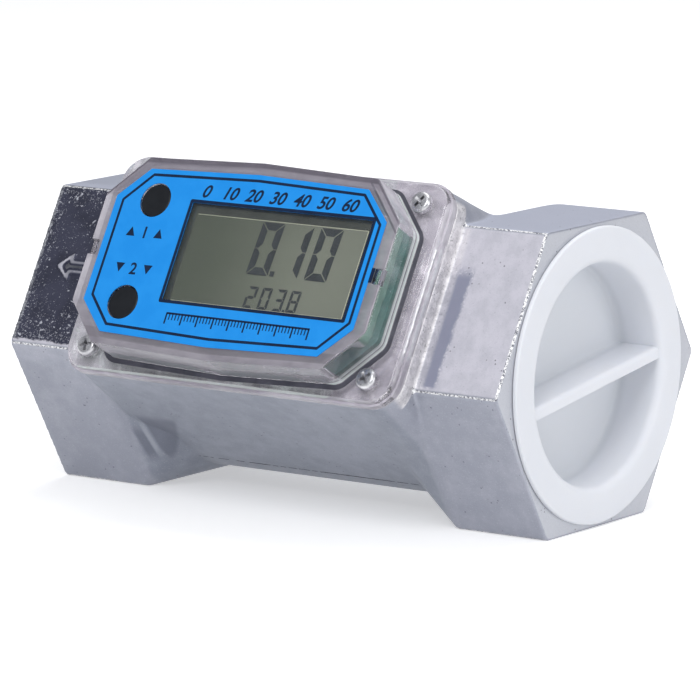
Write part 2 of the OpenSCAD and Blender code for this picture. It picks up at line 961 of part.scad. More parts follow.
module clear_cover() {
    color([0.85, 0.85, 0.88, 0.4])
        on_face(0)
            difference() {
                union() {
                    slab(flange_z, flange_t - flange_step, rounded(
                        centred_rectangle(flange_len, flange_w), flange_corner_r
                    ));
                    slab(flange_z, flange_t, rounded(
                        centred_rectangle(flange_len - 2 * flange_step, flange_w - 2 * flange_step),
                        flange_corner_r - flange_step
                    ));
                    slab(flange_z, roof_z - flange_z, rounded(dome_outline, dome_corner_r));
                }
                difference() {
                    slab(
                        flange_z - over, roof_under_z - flange_z + over,
                        rounded(cavity_outline, cavity_corner_r)
                    );
                    at_board_screws(board_top_z)
                        cylinder(r = boss_r, h = roof_z - board_top_z);
                }
                at_board_screws(board_top_z - over)
                    cylinder(r = board_screw_r + seat_gap, h = board_screw_len - board_t + 2 * over);
                at_button_holes();
                for (side = [-1, 1])
                    translate([side * (dome_half_len - notch_len / 2 + over / 2), 0, 0])
                        slab(roof_z - notch_depth, notch_depth + over, centred_rectangle(
                            notch_len + over, notch_w
                        ));
                at_cover_screws(flange_z - over)
                    cylinder(r = screw_r + screw_hole_gap, h = flange_t + 2 * over);
            }
}

module face_label() {
    color("dodgerblue")
        on_face(0)
            difference() {
                slab(roof_z, label_t, label_outline);
                translate([window_x, window_y, 0])
                    slab(roof_z - over, label_t + 2 * over, centred_rectangle(window_len, window_w));
                at_button_holes();
            }
}

module button() {
    translate([0, 0, button_flange_z])
        cylinder(r = button_r, h = label_top_z - button_low - button_flange_z);
    translate([0, 0, button_flange_z])
        cylinder(r = button_r + button_flange, h = button_flange_t);
    translate([0, 0, button_bottom_z])
        cylinder(r = button_stem_r, h = button_stem_h + sheet);
}

module display_button() {
    color([0.13, 0.14, 0.16])
        on_face(0)
            translate([-button_x, button_y, 0])
                button();
}

module calibrate_button() {
    color([0.13, 0.14, 0.16])
        on_face(0)
            translate([-button_x, -button_y, 0])
                button();
}

head_dome_r = 5.4;
recess_w = 0.75;
recess_len = 3.4;
recess_depth = 1.1;

// A pan head with a domed top and a cross recess, on a plain shank
module cover_screw() {
    difference() {
        union() {
            intersection() {
                cylinder(r = screw_head_r, h = screw_head_h);
                translate([0, 0, screw_head_h - head_dome_r])
                    sphere(r = head_dome_r);
            }
            translate([0, 0, -screw_len])
                cylinder(r = screw_r, h = screw_len + sheet);
        }
        for (turn = [0, 90])
            rotate([0, 0, turn])
                translate([-recess_len / 2, -recess_w / 2, screw_head_h - recess_depth])
                    cube([recess_len, recess_w, recess_depth + over]);
    }
}

module cover_screws() {
    color("gainsboro")
        on_face(0)
            at_cover_screws(flange_top_z)
                cover_screw();
}

// INLET CAP

cap_rim_r = hex_flat - cap_rim_inset;
cap_skirt_r = port_r - cap_gap;
cap_inner_r = cap_skirt_r - cap_wall;
cap_edge_r = 0.4;
cap_back_gap = 0.1;
cap_back_x = body_len + cap_back_gap;
cap_floor = cap_rim_t - cap_recess;

// A quarter turn of points round a centre
function quarter(centre, r, from) = [
    for (k = [0:corner_steps])
        let (turn = from + 90 * k / corner_steps)
            centre + r * [cos(turn), sin(turn)]
];

cap_profile = concat(
    [[0, cap_floor - cap_floor_t], [cap_inner_r, cap_floor - cap_floor_t]],
    [[cap_inner_r, -cap_skirt_len], [cap_skirt_r, -cap_skirt_len]],
    [[cap_skirt_r, 0], [cap_rim_r, 0]],
    quarter([cap_rim_r - cap_edge_r, cap_rim_t - cap_edge_r], cap_edge_r, 0),
    quarter([cap_inner_r + cap_lip_r, cap_rim_t - cap_lip_r], cap_lip_r, 90),
    [[cap_inner_r, cap_floor], [0, cap_floor]]
);

module inlet_cap() {
    color("white")
        translate([cap_back_x, 0, 0]) {
            rotate([0, 90, 0])
                rotate_extrude()
                    polygon(cap_profile);
            rotate([grip_angle, 0, 0])
                translate([cap_floor - sheet, -cap_inner_r - cap_wall / 2, -grip_low - grip_t / 2])
                    cube([cap_recess - grip_drop + sheet, 2 * cap_inner_r + cap_wall, grip_t]);
        }
}

body();
outlet_support();
inlet_support();
retaining_rings();
rotor_shaft();
thrust_washers();
rotor();
rotor_bushings();
rotor_magnets();
coil_bobbin();
coil_winding();
coil_core();
coil_pins();
battery_tray();
batteries();
battery_contacts();
circuit_board();
controller_chip();
quartz_crystal();
capacitors();
tactile_switches();
lcd_holder();
contact_strips();
lcd_glass();
lcd_backing();
board_screws();
cover_gasket();
clear_cover();
face_label();
display_button();
calibrate_button();
cover_screws();
inlet_cap();
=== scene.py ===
import json
import math
import random

import bmesh
import bpy
from mathutils import Matrix, Vector

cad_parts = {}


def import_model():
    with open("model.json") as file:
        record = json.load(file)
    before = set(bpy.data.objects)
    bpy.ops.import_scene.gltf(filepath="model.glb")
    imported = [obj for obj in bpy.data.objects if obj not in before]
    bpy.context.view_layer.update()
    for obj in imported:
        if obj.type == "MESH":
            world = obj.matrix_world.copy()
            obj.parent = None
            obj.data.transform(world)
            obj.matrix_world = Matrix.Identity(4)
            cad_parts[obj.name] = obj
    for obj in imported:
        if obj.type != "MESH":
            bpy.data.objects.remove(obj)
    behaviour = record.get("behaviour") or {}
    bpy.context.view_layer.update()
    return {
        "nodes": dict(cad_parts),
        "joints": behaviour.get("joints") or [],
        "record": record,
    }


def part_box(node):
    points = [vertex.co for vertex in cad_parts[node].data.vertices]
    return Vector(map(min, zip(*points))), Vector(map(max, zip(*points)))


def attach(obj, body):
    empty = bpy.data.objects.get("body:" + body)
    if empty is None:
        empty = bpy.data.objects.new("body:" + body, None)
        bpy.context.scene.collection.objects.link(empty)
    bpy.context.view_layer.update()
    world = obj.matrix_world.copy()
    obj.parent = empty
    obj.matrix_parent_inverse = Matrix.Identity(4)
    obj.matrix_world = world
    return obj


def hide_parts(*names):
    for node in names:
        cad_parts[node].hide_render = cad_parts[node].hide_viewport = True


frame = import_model()

# Modelling below is in millimetres, and these matrices bring it into the frame, in metres
MM = 0.001
CORNER_STEPS = 8
ROUND_STEPS = 6
CIRCLE_STEPS = 96


# PLACES IN THE FRAME


def joint(name):
    return next(j for j in frame["joints"] if j["name"] == name)


def matrix_of(across, upward, along, origin):
    axes = Matrix((across, upward, along)).transposed().to_4x4()
    return Matrix.Translation(origin) @ axes @ Matrix.Scale(MM, 4)


def reach(node, direction):
    """How far a CAD node reaches along a direction from the flow axis, in millimetres."""
    return max(v.co.dot(direction) for v in frame["nodes"][node].data.vertices) / MM


FACE_OUT = -Vector(joint("display_button_press")["axis"]).normalized()
FLOW = Vector((1, 0, 0))
FACE_UP = FACE_OUT.cross(FLOW)
BODY_LOW, BODY_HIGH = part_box("body")
MID_X = (BODY_LOW.x + BODY_HIGH.x) / 2
BODY_LEN = (BODY_HIGH.x - BODY_LOW.x) / MM
HEX_FLAT = -BODY_LOW.z / MM
HEX_COS = math.cos(math.radians(30))

# On the face, x runs along the flow axis, y up the display and z out of it
FACE = matrix_of(FLOW, FACE_UP, FACE_OUT, Vector((MID_X, 0, 0)))
# Round the flow axis, z runs from the outlet to the inlet
AXIS = matrix_of(Vector((0, 1, 0)), Vector((0, 0, 1)), FLOW, Vector((0, 0, 0)))

FLANGE_Z = -reach("clear_cover", -FACE_OUT)
ROOF_Z = reach("clear_cover", FACE_OUT)
LABEL_Z = reach("face_label", FACE_OUT)
GLASS_Z = reach("lcd_glass", FACE_OUT)
BOARD_Z = reach("circuit_board", FACE_OUT)
MID = MID_X / MM
CAP_LOW, CAP_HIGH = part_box("inlet_cap")
CAP_FRONT = CAP_HIGH.x / MM


# COVER SIZES

FLANGE_LEN = 99
FLANGE_W = 57.4
FLANGE_T = 3.3
FLANGE_CORNER_R = 7
FLANGE_STEP = 0.6
DOME_END_MARGIN = 5.5
DOME_SIDE_MARGIN = 2.9
DOME_CROWN = 1.2
DOME_CUT = (9.8, 10.4)
DOME_DRAFT = 0.12
COVER_T = 2
ROOF_T = 1.8
FOOT_R = 3.6
ROOF_R = 0.8
CAVITY_R = 1.5
NOTCH = (2.7, 4, 1.2)
BOSS_R = 2.6
BOSS_HOLE_R = 0.92
BOSS_X = (-11, 14)
BOSS_Y = 19.4
SCREW_X = FLANGE_LEN / 2 - 7.7
SCREW_Y = FLANGE_W / 2 - 6.1
SCREW_HOLE_R = 1.7
SCREW_PLACES = [(x, y) for x in (-SCREW_X, SCREW_X) for y in (-SCREW_Y, SCREW_Y)]
BOSS_PLACES = [(x, y) for x in BOSS_X for y in (-BOSS_Y, BOSS_Y)]
BUTTON_X = -28.4
BUTTON_Y = 13.4
BUTTON_R = 4.4
BUTTON_HOLE_R = 4.46
FLANGE_TOP = FLANGE_Z + FLANGE_T
DOME_X = FLANGE_LEN / 2 - DOME_END_MARGIN
DOME_Y = FLANGE_W / 2 - DOME_SIDE_MARGIN
# The dome's cut corners, as the direction they face and how far out they lie
CUT_NORMAL = Vector((DOME_CUT[1], DOME_CUT[0])).normalized()
CUT_LEVEL = CUT_NORMAL.dot((DOME_X, DOME_Y - DOME_CROWN - DOME_CUT[1]))


# OUTLINES


def unit_left(a, b):
    step = (b - a).normalized()
    return Vector((-step.y, step.x))


def moved_in(points, i, distance):
    before = unit_left(points[i - 1], points[i])
    after = unit_left(points[i], points[(i + 1) % len(points)])
    return points[i] + distance * (before + after) / (1 + before.dot(after))


def inset(points, distance):
    return [moved_in(points, i, distance) for i in range(len(points))]


def rounded(points, radius, steps=CORNER_STEPS):
    """An anticlockwise outline with each corner turned into an arc of the same number of points."""
    ring = []
    for i in range(len(points)):
        before = unit_left(points[i - 1], points[i])
        after = unit_left(points[i], points[(i + 1) % len(points)])
        centre = moved_in(points, i, radius)
        start = math.atan2(-before.y, -before.x)
        turn = math.acos(min(1, before.dot(after)))
        for k in range(steps + 1):
            angle = start + turn * k / steps
            ring.append(centre + radius * Vector((math.cos(angle), math.sin(angle))))
    return ring


def rectangle(x0, y0, x1, y1):
    return [Vector(p) for p in ((x0, y0), (x1, y0), (x1, y1), (x0, y1))]


def mixed(ring_a, ring_b, share):
    return [a.lerp(b, share) for a, b in zip(ring_a, ring_b)]


def bend(start, corner, end, steps=ROUND_STEPS):
    """Points of a smooth curve from start to end that is drawn towards the corner."""
    curve = []
    for k in range(steps + 1):
        t = k / steps
        curve.append(tuple(
            (1 - t) ** 2 * a + 2 * t * (1 - t) * b + t ** 2 * c
            for a, b, c in zip(start, corner, end)
        ))
    return curve


# MESHES


def added(name, data):
    """An object for a mesh, a text, a lamp or a camera, linked to the scene."""
    made = bpy.data.objects.new(name, data)
    bpy.context.scene.collection.objects.link(made)
    return made


def mesh_of(name, bm):
    bmesh.ops.recalc_face_normals(bm, faces=bm.faces)
    mesh = bpy.data.meshes.new(name)
    bm.to_mesh(mesh)
    bm.free()
    return mesh


def finished(name, bm, place, body, slot, look=None, sharp_angle=35):
    """Turns a bmesh in millimetres into a piece that rides on a CAD body."""
    bmesh.ops.transform(bm, matrix=place, verts=bm.verts)
    return dressed(name, mesh_of(name, bm), body, slot, look, sharp_angle)


def dressed(name, mesh, body, slot, look=None, sharp_angle=35):
    """A piece with the material of its slot, or of the look where that is given."""
    mesh.materials.clear()
    mesh.materials.append(materials[look or slot])
    mesh.shade_smooth()
    mesh.set_sharp_from_angle(angle=math.radians(sharp_angle))
    piece = added(name, mesh)
    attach(piece, body)
    return piece


def add_loft(bm, rings, closed=True):
    """Joins rings of points with quads, and closes both ends."""
    rows = [[bm.verts.new(p) for p in ring] for ring in rings]
    count = len(rows[0])
    for low, high in zip(rows, rows[1:]):
        for i in range(count):
            j = (i + 1) % count
            bm.faces.new((low[i], low[j], high[j], high[i]))
    if closed:
        bm.faces.new(reversed(rows[0]))
        bm.faces.new(rows[-1])
    return bm


def at_level(ring, z):
    return [Vector((p.x, p.y, z)) for p in ring]


def add_slab(bm, ring, z, height):
    return add_loft(bm, [at_level(ring, z), at_level(ring, z + height)])


def add_frame(bm, outer, inner, z, height):
    """A flat ring between two outlines with the same number of points."""
    top = z + height
    rings = [at_level(outer, z), at_level(outer, top), at_level(inner, top), at_level(inner, z)]
    add_loft(bm, rings + rings[:1], closed=False)
    bmesh.ops.remove_doubles(bm, verts=bm.verts, dist=1e-5)
    return bm


def circle(radius, z, steps=CIRCLE_STEPS, centre=(0, 0)):
    return [
        Vector((
            centre[0] + radius * math.cos(math.tau * k / steps),
            centre[1] + radius * math.sin(math.tau * k / steps),
            z,
        ))
        for k in range(steps)
    ]


def add_lathe(bm, profile, steps=CIRCLE_STEPS, centre=(0, 0)):
    """Turns a profile of (radius, height) about the z axis. Its ends lie on the axis or are closed flat."""
    return add_loft(bm, [circle(r, z, steps, centre) for r, z in profile])


def evaluated(piece):
    """The mesh of an object with its modifiers applied. The object itself is removed."""
    bpy.context.view_layer.update()
    graph = bpy.context.evaluated_depsgraph_get()
    mesh = bpy.data.meshes.new_from_object(piece.evaluated_get(graph))
    bpy.data.objects.remove(piece)
    return mesh


def carved(base, *cuts):
    """A new bmesh: the solid base with each (operation, solid) applied to it in turn."""
    piece = added("base", mesh_of("base", base))
    tools = []
    for operation, solid in cuts:
        tool = added("tool", mesh_of("tool", solid))
        tools.append(tool)
        step = piece.modifiers.new("cut", "BOOLEAN")
        step.operation = operation
        step.solver = "EXACT"
        step.object = tool
    mesh = evaluated(piece)
    for tool in tools:
        bpy.data.objects.remove(tool)
    bm = bmesh.new()
    bm.from_mesh(mesh)
    bpy.data.meshes.remove(mesh)
    bmesh.ops.remove_doubles(bm, verts=bm.verts, dist=1e-4)
    return bm


# MATERIALS


class Value:
    """A number or a colour that changes over a surface. Sums and products of values are nodes too."""

    def __init__(self, paint, socket):
        self.paint = paint
        self.socket = socket

    def __add__(self, other):
        return self.paint.math("ADD", self, other)

    def __sub__(self, other):
        return self.paint.math("SUBTRACT", self, other)

    def __rsub__(self, other):
        return self.paint.math("SUBTRACT", other, self)

    def __mul__(self, other):
        return self.paint.math("MULTIPLY", self, other)

    def __abs__(self):
        return self.paint.math("ABSOLUTE", self)

    def clamped(self):
        self.socket.node.use_clamp = True
        return self

    def ramp(self, low, high, to_low=0.0, to_high=1.0):
        """Goes smoothly from 0 where this value is low to 1 where it is high."""
        return self.paint.made("MapRange", self, low, high, to_low, to_high, interpolation_type="SMOOTHSTEP")

    def span(self, start, full, fall, end):
        """Goes from 0 at start to 1 at full, and from 1 at fall back to 0 at end."""
        return self.ramp(start, full) * self.ramp(end, fall)

    def mixed(self, other, share):
        """This colour, which turns into the other as the share goes from 0 to 1."""
        return self.paint.mix(share, self, other)


class Paint:
    """A node material built round one Principled shader."""

    def __init__(self, name, **settings):
        self.material = bpy.data.materials.new(name)
        self.material.use_nodes = True
        self.tree = self.material.node_tree
        self.tree.nodes.clear()
        self.output = self.node("OutputMaterial")
        self.shader = self.node("BsdfPrincipled", **settings)
        self.surface(self.shader.outputs["BSDF"])
        place = self.node("TexCoord")
        self.position = place.outputs["Object"]
        self.normal = place.outputs["Normal"]

    def node(self, kind, **inputs):
        """A node with the values of the inputs that are named."""
        made = self.tree.nodes.new("ShaderNode" + kind)
        for name, value in inputs.items():
            self.put(made.inputs[name.replace("_", " ")], value)
        return made

    def value(self, kind, output, **inputs):
        return Value(self, self.node(kind, **inputs).outputs[output])

    def made(self, kind, *inputs, output=0, **modes):
        """The output of a node that takes its inputs in their order."""
        made = self.tree.nodes.new("ShaderNode" + kind)
        for name, mode in modes.items():
            setattr(made, name, mode)
        for target, value in zip(made.inputs, inputs):
            self.put(target, value)
        return Value(self, made.outputs[output])

    def put(self, target, value):
        if isinstance(value, Value):
            value = value.socket
        if isinstance(value, bpy.types.NodeSocket):
            self.tree.links.new(value, target)
        elif isinstance(value, str):
            target.default_value = (*linear(value), 1)
        else:
            target.default_value = value

    def surface(self, shader):
        self.put(self.output.inputs["Surface"], shader)

    def math(self, operation, a, b=0.0):
        return self.made("Math", a, b, operation=operation)

    def noise(self, scale, detail=3.0, roughness=0.5, stretch=None, distortion=0.0):
        return self.value(
            "TexNoise", "Fac", Vector=self.stretched(stretch) if stretch else self.position,
            Scale=scale, Detail=detail, Roughness=roughness, Distortion=distortion,
        )

    def stretched(self, factors):
        return self.value("Mapping", "Vector", Vector=self.position, Scale=factors)

    def turned(self, factors, angle):
        """The position turned about the display's normal, then stretched."""
        spun = self.value("VectorRotate", "Vector", Vector=self.position, Axis=FACE_OUT, Angle=angle)
        return self.value("Mapping", "Vector", Vector=spun, Scale=factors)

    def dot(self, vector, direction):
        return self.made("VectorMath", vector, direction, operation="DOT_PRODUCT", output="Value")

    def place(self, direction):
        """How far out a point lies along a direction, in millimetres."""
        return self.dot(self.position, Vector(direction) / MM)

    def facing(self, direction):
        """How much the surface faces a direction: 1 where it does so fully."""
        return self.dot(self.normal, direction)

    def mix(self, share, a, b):
        made = self.tree.nodes.new("ShaderNodeMix")
        made.data_type = "RGBA"
        for index, value in ((0, share), (6, a), (7, b)):
            self.put(made.inputs[index], value)
        return Value(self, made.outputs[2])

    def mottled(self, pattern, first, second, low=0.35, high=0.65):
        return self.mix(pattern.ramp(low, high), first, second)

    def color(self, value):
        self.put(self.shader.inputs["Base Color"], value)

    def rough(self, pattern, low, high):
        self.put(self.shader.inputs["Roughness"], pattern.ramp(0.3, 0.7, low, high))

    def bumpy(self, height, distance, strength=1.0):
        normal = self.value("Bump", "Normal", Height=height, Distance=distance, Strength=strength)
        self.put(self.shader.inputs["Normal"], normal)
        return normal


def linear(code):
    """A colour written as it shows on a screen, such as "2596EB", as the shader takes it."""
    values = [int(code[i:i + 2], 16) / 255 for i in (0, 2, 4)]
    return tuple(v / 12.92 if v <= 0.04045 else ((v + 0.055) / 1.055) ** 2.4 for v in values)


def plain(name, code, second, roughness, grain=900, bump=0.00001, **settings):
    """A surface with two close tones, a grain and a changing gloss."""
    paint = Paint(name, **settings)
    fine = paint.noise(grain, 3, 0.6)
    paint.color(paint.mottled(paint.noise(grain / 8, 4, 0.6), code, second))
    paint.rough(fine, roughness * 0.85, roughness * 1.15)
    paint.bumpy(fine, bump)
    return paint


def largest(first, *others):
    for other in others:
        first = first.paint.math("MAXIMUM", first, other)
    return first


def cast_aluminium():
    """Bare casting: a fine sandy skin, blasted display flats, painted glints on the edges and machined ends,
    with painted light, shade and reflections.
    """
    paint = Paint("cast_aluminium", Metallic=0.55)
    noise = paint.noise
    broad = noise(26, 3, 0.5)
    middle = noise(240, 4, 0.6)
    fine = noise(2600, 3, 0.7)
    # How far a point stands out from the collars' display flats
    out = paint.place(FACE_OUT) - HEX_FLAT
    up = paint.place(FACE_UP)
    along = paint.place(FLOW)
    y = paint.place((0, 1, 0))
    z = paint.place((0, 0, 1))
    side = abs(y)
    tall = abs(z)
    radial = paint.stretched((0, 1 / MM, 1 / MM))
    radius = paint.made("VectorMath", radial, operation="LENGTH", output="Value")
    ends = (along.ramp(29, 27.5) + along.ramp(117.5, 119)).clamped()
    # Grey skin, darker on the barrel as painted shade, and lighter and bluer on top as painted light
    skin = middle * 0.45 + broad * 0.55
    barrel = paint.mottled(skin, "9196A2", "A0A4B0", 0.38, 0.62)
    collar = paint.mottled(skin, "9FA2AE", "AEB0BB", 0.38, 0.62)
    tone = paint.mix(ends, barrel, collar)
    lit_top = paint.facing((0, 0, 1)).ramp(0.8, 0.98)
    tone = tone.mixed(paint.mix(ends, "EEEFF3", "B7BBCB"), lit_top * 0.85)
    # The flats that face as the display does are blasted, and their lighter, pinker tone is partly painted
    # light; the end faces are turned
    facing = paint.facing(FACE_OUT)
    flat_level = out.span(-0.8, -0.4, 0.4, 0.8) * ends
    blasted_and_lit = facing.ramp(0.93, 0.99) * flat_level
    tone = tone.mixed(paint.mottled(middle, "C4C3CD", "D0CED8"), blasted_and_lit)
    machined = abs(paint.facing(FLOW)).ramp(0.98, 0.999)
    tone = tone.mixed("BFC1C8", machined)
    # Light and dark grains
    tone = tone.mixed("DCDEE4", fine.ramp(0.54, 0.8, 0.0, 0.5))
    tone = tone.mixed("787C88", fine.ramp(0.46, 0.2, 0.0, 0.4))
    # Small dark pores, in some places only
    pores = paint.value("TexVoronoi", "Distance", Vector=paint.position, Scale=620)
    pore = pores.ramp(0.16, 0.1) * noise(170, 2).ramp(0.52, 0.62)
    tone = tone.mixed("5A5A64", pore * 0.75)
    # A painted reflection: a blue-grey band on the inlet's display flat beside the cover, with grains along
    # its edge
    wave = noise(260, 4, 0.7) * 3 + along
    limit = up * 0.03 + (MID + 58.1)
    reflection_band = blasted_and_lit * wave.ramp(limit, limit - 1.8) * along.ramp(MID, MID + 1)
    reflection_band = reflection_band * up.span(-20.8, -19.5, 7.5, 12)
    reflection_band = reflection_band * largest(noise(1500, 3, 0.75).ramp(0.6, 0.5), reflection_band.ramp(0.55, 0.95))
    tone = tone.mixed("7F8399", reflection_band * 0.85)
    # The housing's flank beside it is stained and pitted
    flank = along.span(MID + 47.5, MID + 48.5, MID + 51, MID + 52.5) * out.ramp(-0.2, 0.2)
    stain = paint.mottled(noise(330, 4, 0.75), "D2CFD1", "F4F1F2", 0.4, 0.62)
    stain = stain.mixed("5E5C60", noise(1500, 4, 0.85).ramp(0.44, 0.36) * 0.75)
    tone = tone.mixed(stain, flank * 0.85)
    # Painted shadow: a dark patch where the barrel meets the outlet collar's taper, and painted shade on a
    # fold with a painted highlight on a ridge beside it
    turn = paint.math("ARCTAN2", z * -1, y * -1)
    left = turn * 5.9 + 28.3
    right = turn * -18.9 + 53.6
    from_left = along - left
    shadow_patch = from_left.ramp(-0.3, 0.6) * along.ramp(right, right - 1.8) * turn.span(0.43, 0.53, 0.86, 0.97)
    fold_shade = from_left.span(-4.4, -3.4, -1.8, -1.2) * turn.span(0.56, 0.68, 0.8, 0.92)
    ridge_highlight = from_left.span(-1.8, -1, -0.8, 0) * turn.span(0.5, 0.7, 0.76, 0.9)
    tone = tone.mixed("666A78", largest(shadow_patch, fold_shade) * 0.6)
    tone = tone.mixed("B4B7C0", ridge_highlight * 0.5)
    # The outlet's display flat is painted dark, a painted reflection of dark surroundings, less so on the
    # raised arrow
    ragged = noise(420, 4, 0.75) * 2.2 + up
    arrow_shine = along.ramp(11.2, 9.8) * 0.4 + 0.4
    arrow = out.ramp(0.3, 0.43) * arrow_shine
    dark_reflection = facing.ramp(0.5, 0.62) * flat_level * along.ramp(28, 27)
    dark_reflection = dark_reflection * ragged.ramp(-19.2, -18.6) * (1 - arrow)
    # It has nicks that crowd towards its edges, dust and fine scratches
    crowd = largest(up.ramp(14, 21), up.ramp(-6, -20), along.ramp(6, 0.5))
    rare = crowd * -0.07 + 0.655
    nick = noise(900, 3, 0.75).ramp(rare, rare + 0.05)
    nick = largest(nick, noise(2400, 2, 0.7).ramp(rare, rare + 0.06, 0.0, 0.6))
    for angle in (0.5, 2.2):
        place = paint.turned((0.22, 1, 1), angle)
        scratch = paint.value("TexNoise", "Fac", Vector=place, Scale=900)
        nick = largest(nick, scratch.ramp(0.7, 0.74, 0.0, 0.75))
    dark = paint.mottled(noise(160, 3), "26283A", "36384B")
    tone = tone.mixed(dark.mixed("BFC1CB", nick), dark_reflection)
    # Its end is chamfered, and grey where the flat runs into it
    turned_edge = dark_reflection * along.ramp(1.4, 0.7) * noise(1100, 3, 0.7).ramp(0.4, 0.58)
    tone = tone.mixed("A4A6AC", turned_edge * 0.8)
    # Painted shade: darker away from the display's side, towards the outlet end
    tone = tone.mixed("70747F", along.ramp(22, 4) * out.ramp(-3, -7) * 0.22)
    # The long corners of the collars, and the rim of the inlet's display flat, carry painted glints in
    # places: painted highlights of bright and dark specks
    level_a = side * HEX_COS + tall * 0.5
    level_b = side * HEX_COS - tall * 0.5
    upper = paint.math("MINIMUM", level_a, tall)
    corner = largest(upper, paint.math("MINIMUM", level_a, level_b)).ramp(HEX_FLAT - 0.5, HEX_FLAT - 0.36)
    rim = along.ramp(BODY_LEN - 0.68, BODY_LEN - 0.48) * out.span(-0.6, -0.3, 0.1, 0.2)
    edge = largest(corner, rim) * ends * radius.ramp(43.1, 42.9)
    glint_share = largest(noise(210, 3, 0.6).ramp(0.38, 0.6, 0.15, 0.85), out.ramp(-1.5, -0.8, 0.0, 0.9))
    glint = paint.mottled(noise(1700, 3, 0.8), "62646E", "FFFFFF", 0.42, 0.56)
    paint.color(tone.mixed(glint, edge * glint_share))
    paint.put(paint.shader.inputs["Metallic"], blasted_and_lit * -0.35 + 0.55)
    paint.put(paint.shader.inputs["Roughness"], dark_reflection * 0.06 + fine.ramp(0.3, 0.7, 0.42, 0.54))
    # The machined ends carry rings from the lathe
    rings = paint.math("SINE", radius * 9) * machined * 0.3
    paint.bumpy(rings + fine * 0.8 + middle * 0.5 - pore * 1.2 + nick * dark_reflection * 0.8, 0.00005, 0.5)
    return paint.material


def clear_plastic():
    """Clear moulding: milky in the roof's border, clearer in its walls, with a clean pane in the window."""
    paint = Paint("clear_plastic", IOR=1.49, Transmission_Weight=1.0)
    paint.color(paint.mix(paint.noise(70, 3, 0.5), "F6F5F7", "FDFCFE"))
    paint.rough(paint.noise(500, 3, 0.6), 0.01, 0.04)
    along = paint.place(FLOW) - MID
    up = paint.place(FACE_UP)
    out = paint.place(FACE_OUT)
    pane = along.span(-18.2, -17.8, 37.4, 37.8)
    pane = pane * up.span(-12.7, -12.3, 14.5, 14.9) * out.ramp(ROOF_Z - 2.5, ROOF_Z - 2.3)
    ripple = paint.noise(150, 2, 0.5)
    wave = paint.noise(240, 2, 0.5, stretch=(0.25, 1, 1)) * 0.6 + ripple
    bump = paint.bumpy(wave * (1 - pane), 0.00006, 0.6)
    # In the roof's border the outer strip is the solid wall, and the inner one shows the hollow below
    across = abs(along)
    slope = across * (DOME_CROWN / (DOME_X - DOME_CUT[0]))
    cut = across * CUT_NORMAL.x + up * CUT_NORMAL.y
    roof = out.ramp(ROOF_Z - 0.6, ROOF_Z - 0.3) * paint.facing(FACE_OUT).ramp(0.3, 0.7)
    from_cut = cut - CUT_LEVEL
    rim = largest(
        (slope + up).ramp(DOME_Y - 2.4, DOME_Y - 1.2),
        from_cut.ramp(-1, -0.7),
        along.ramp(1.9 - DOME_X, 2.2 - DOME_X) * 0.6,
        from_cut.span(-2.6, -2.4, -2, -1.8) * along.ramp(0, 1),
    ) * roof
    low_strip = roof * (slope - up).span(DOME_Y - 4.4, DOME_Y - 4, DOME_Y - 1.8, DOME_Y - 1.5)
    upper_strip = roof * up.ramp(12, 20)
    # The walls are clearest towards the inlet, with a pale line above their foot
    depth = ROOF_Z - out
    inlet_side = along.ramp(30, 34)
    level = inlet_side * 1.2 + depth
    pale_line = level.span(9.2, 9.5, 10.2, 10.6)
    lines = paint.math("SINE", ripple * 9 + depth * 4.5)
    upward = paint.facing(FACE_UP)
    turned_down = largest(upward * -1 - 0.75, 0)
    wall = largest(upward, 0) * 0.5 + 0.04 + turned_down * 1.1 + pale_line * 0.6
    wall = wall + level.ramp(9.6, 10.2) * (lines * 0.05 + 0.3)
    share = wall * (1 - roof) + (low_strip * -0.05 + 0.52 + rim * 0.3) * roof
    # Behind the lower wall lie hollows, whose shade is painted dark into the wall, with light ribs between
    # them
    hollow = turned_down.ramp(0.05, 0.15) * depth.span(5.8, 6.4, 9, 9.4) * (1 - inlet_side)
    for rib in (-13.5, 15.5):
        hollow = hollow * abs(depth * -1.4 + along - rib).ramp(1.6, 2.6)
    share = largest(share, hollow * 0.75)
    # The flange is cloudy in places, and pale along its edge
    margin_x = across.ramp(FLANGE_LEN / 2 - 1.3, FLANGE_LEN / 2 - 0.9)
    margin_y = abs(up).ramp(FLANGE_W / 2 - 1.3, FLANGE_W / 2 - 0.9)
    lens = paint.noise(170, 3, 0.6, distortion=1).ramp(0.52, 0.7, 0.06, 0.4)
    flange = out.ramp(FLANGE_Z + 3.6, FLANGE_Z + 3.2)
    share = share * (1 - flange) + largest(lens, largest(margin_x, margin_y) * 0.55) * flange
    cloud = paint.noise(110, 4, 0.6, stretch=(0.5, 1, 1)).ramp(0.35, 0.65)
    share = ((cloud - 0.5) * 0.12 + share).clamped() * (1 - pane)
    shade = paint.mix(cloud, "BDB8C3", "DAD6DE")
    shade = shade.mixed("7C8286", hollow * 0.85)
    shade = shade.mixed("E2EAE8", pale_line)
    shade = shade.mixed("A8A2AA", low_strip * 0.7)
    shade = shade.mixed("8E8894", upper_strip * 0.6)
    shade = shade.mixed("504A56", rim * 0.9)
    milk = paint.node("BsdfPrincipled", Base_Color=shade, Roughness=0.3, IOR=1.49, Normal=bump)
    body = paint.made("MixShader", share, paint.shader.outputs[0], milk.outputs[0])
    # Light goes through to what lies inside
    clear = paint.node("BsdfTransparent", Color="EEEDF0")
    shadow = paint.node("LightPath").outputs["Is Shadow Ray"]
    paint.surface(paint.made("MixShader", shadow, body, clear.outputs[0]))
    return paint.material


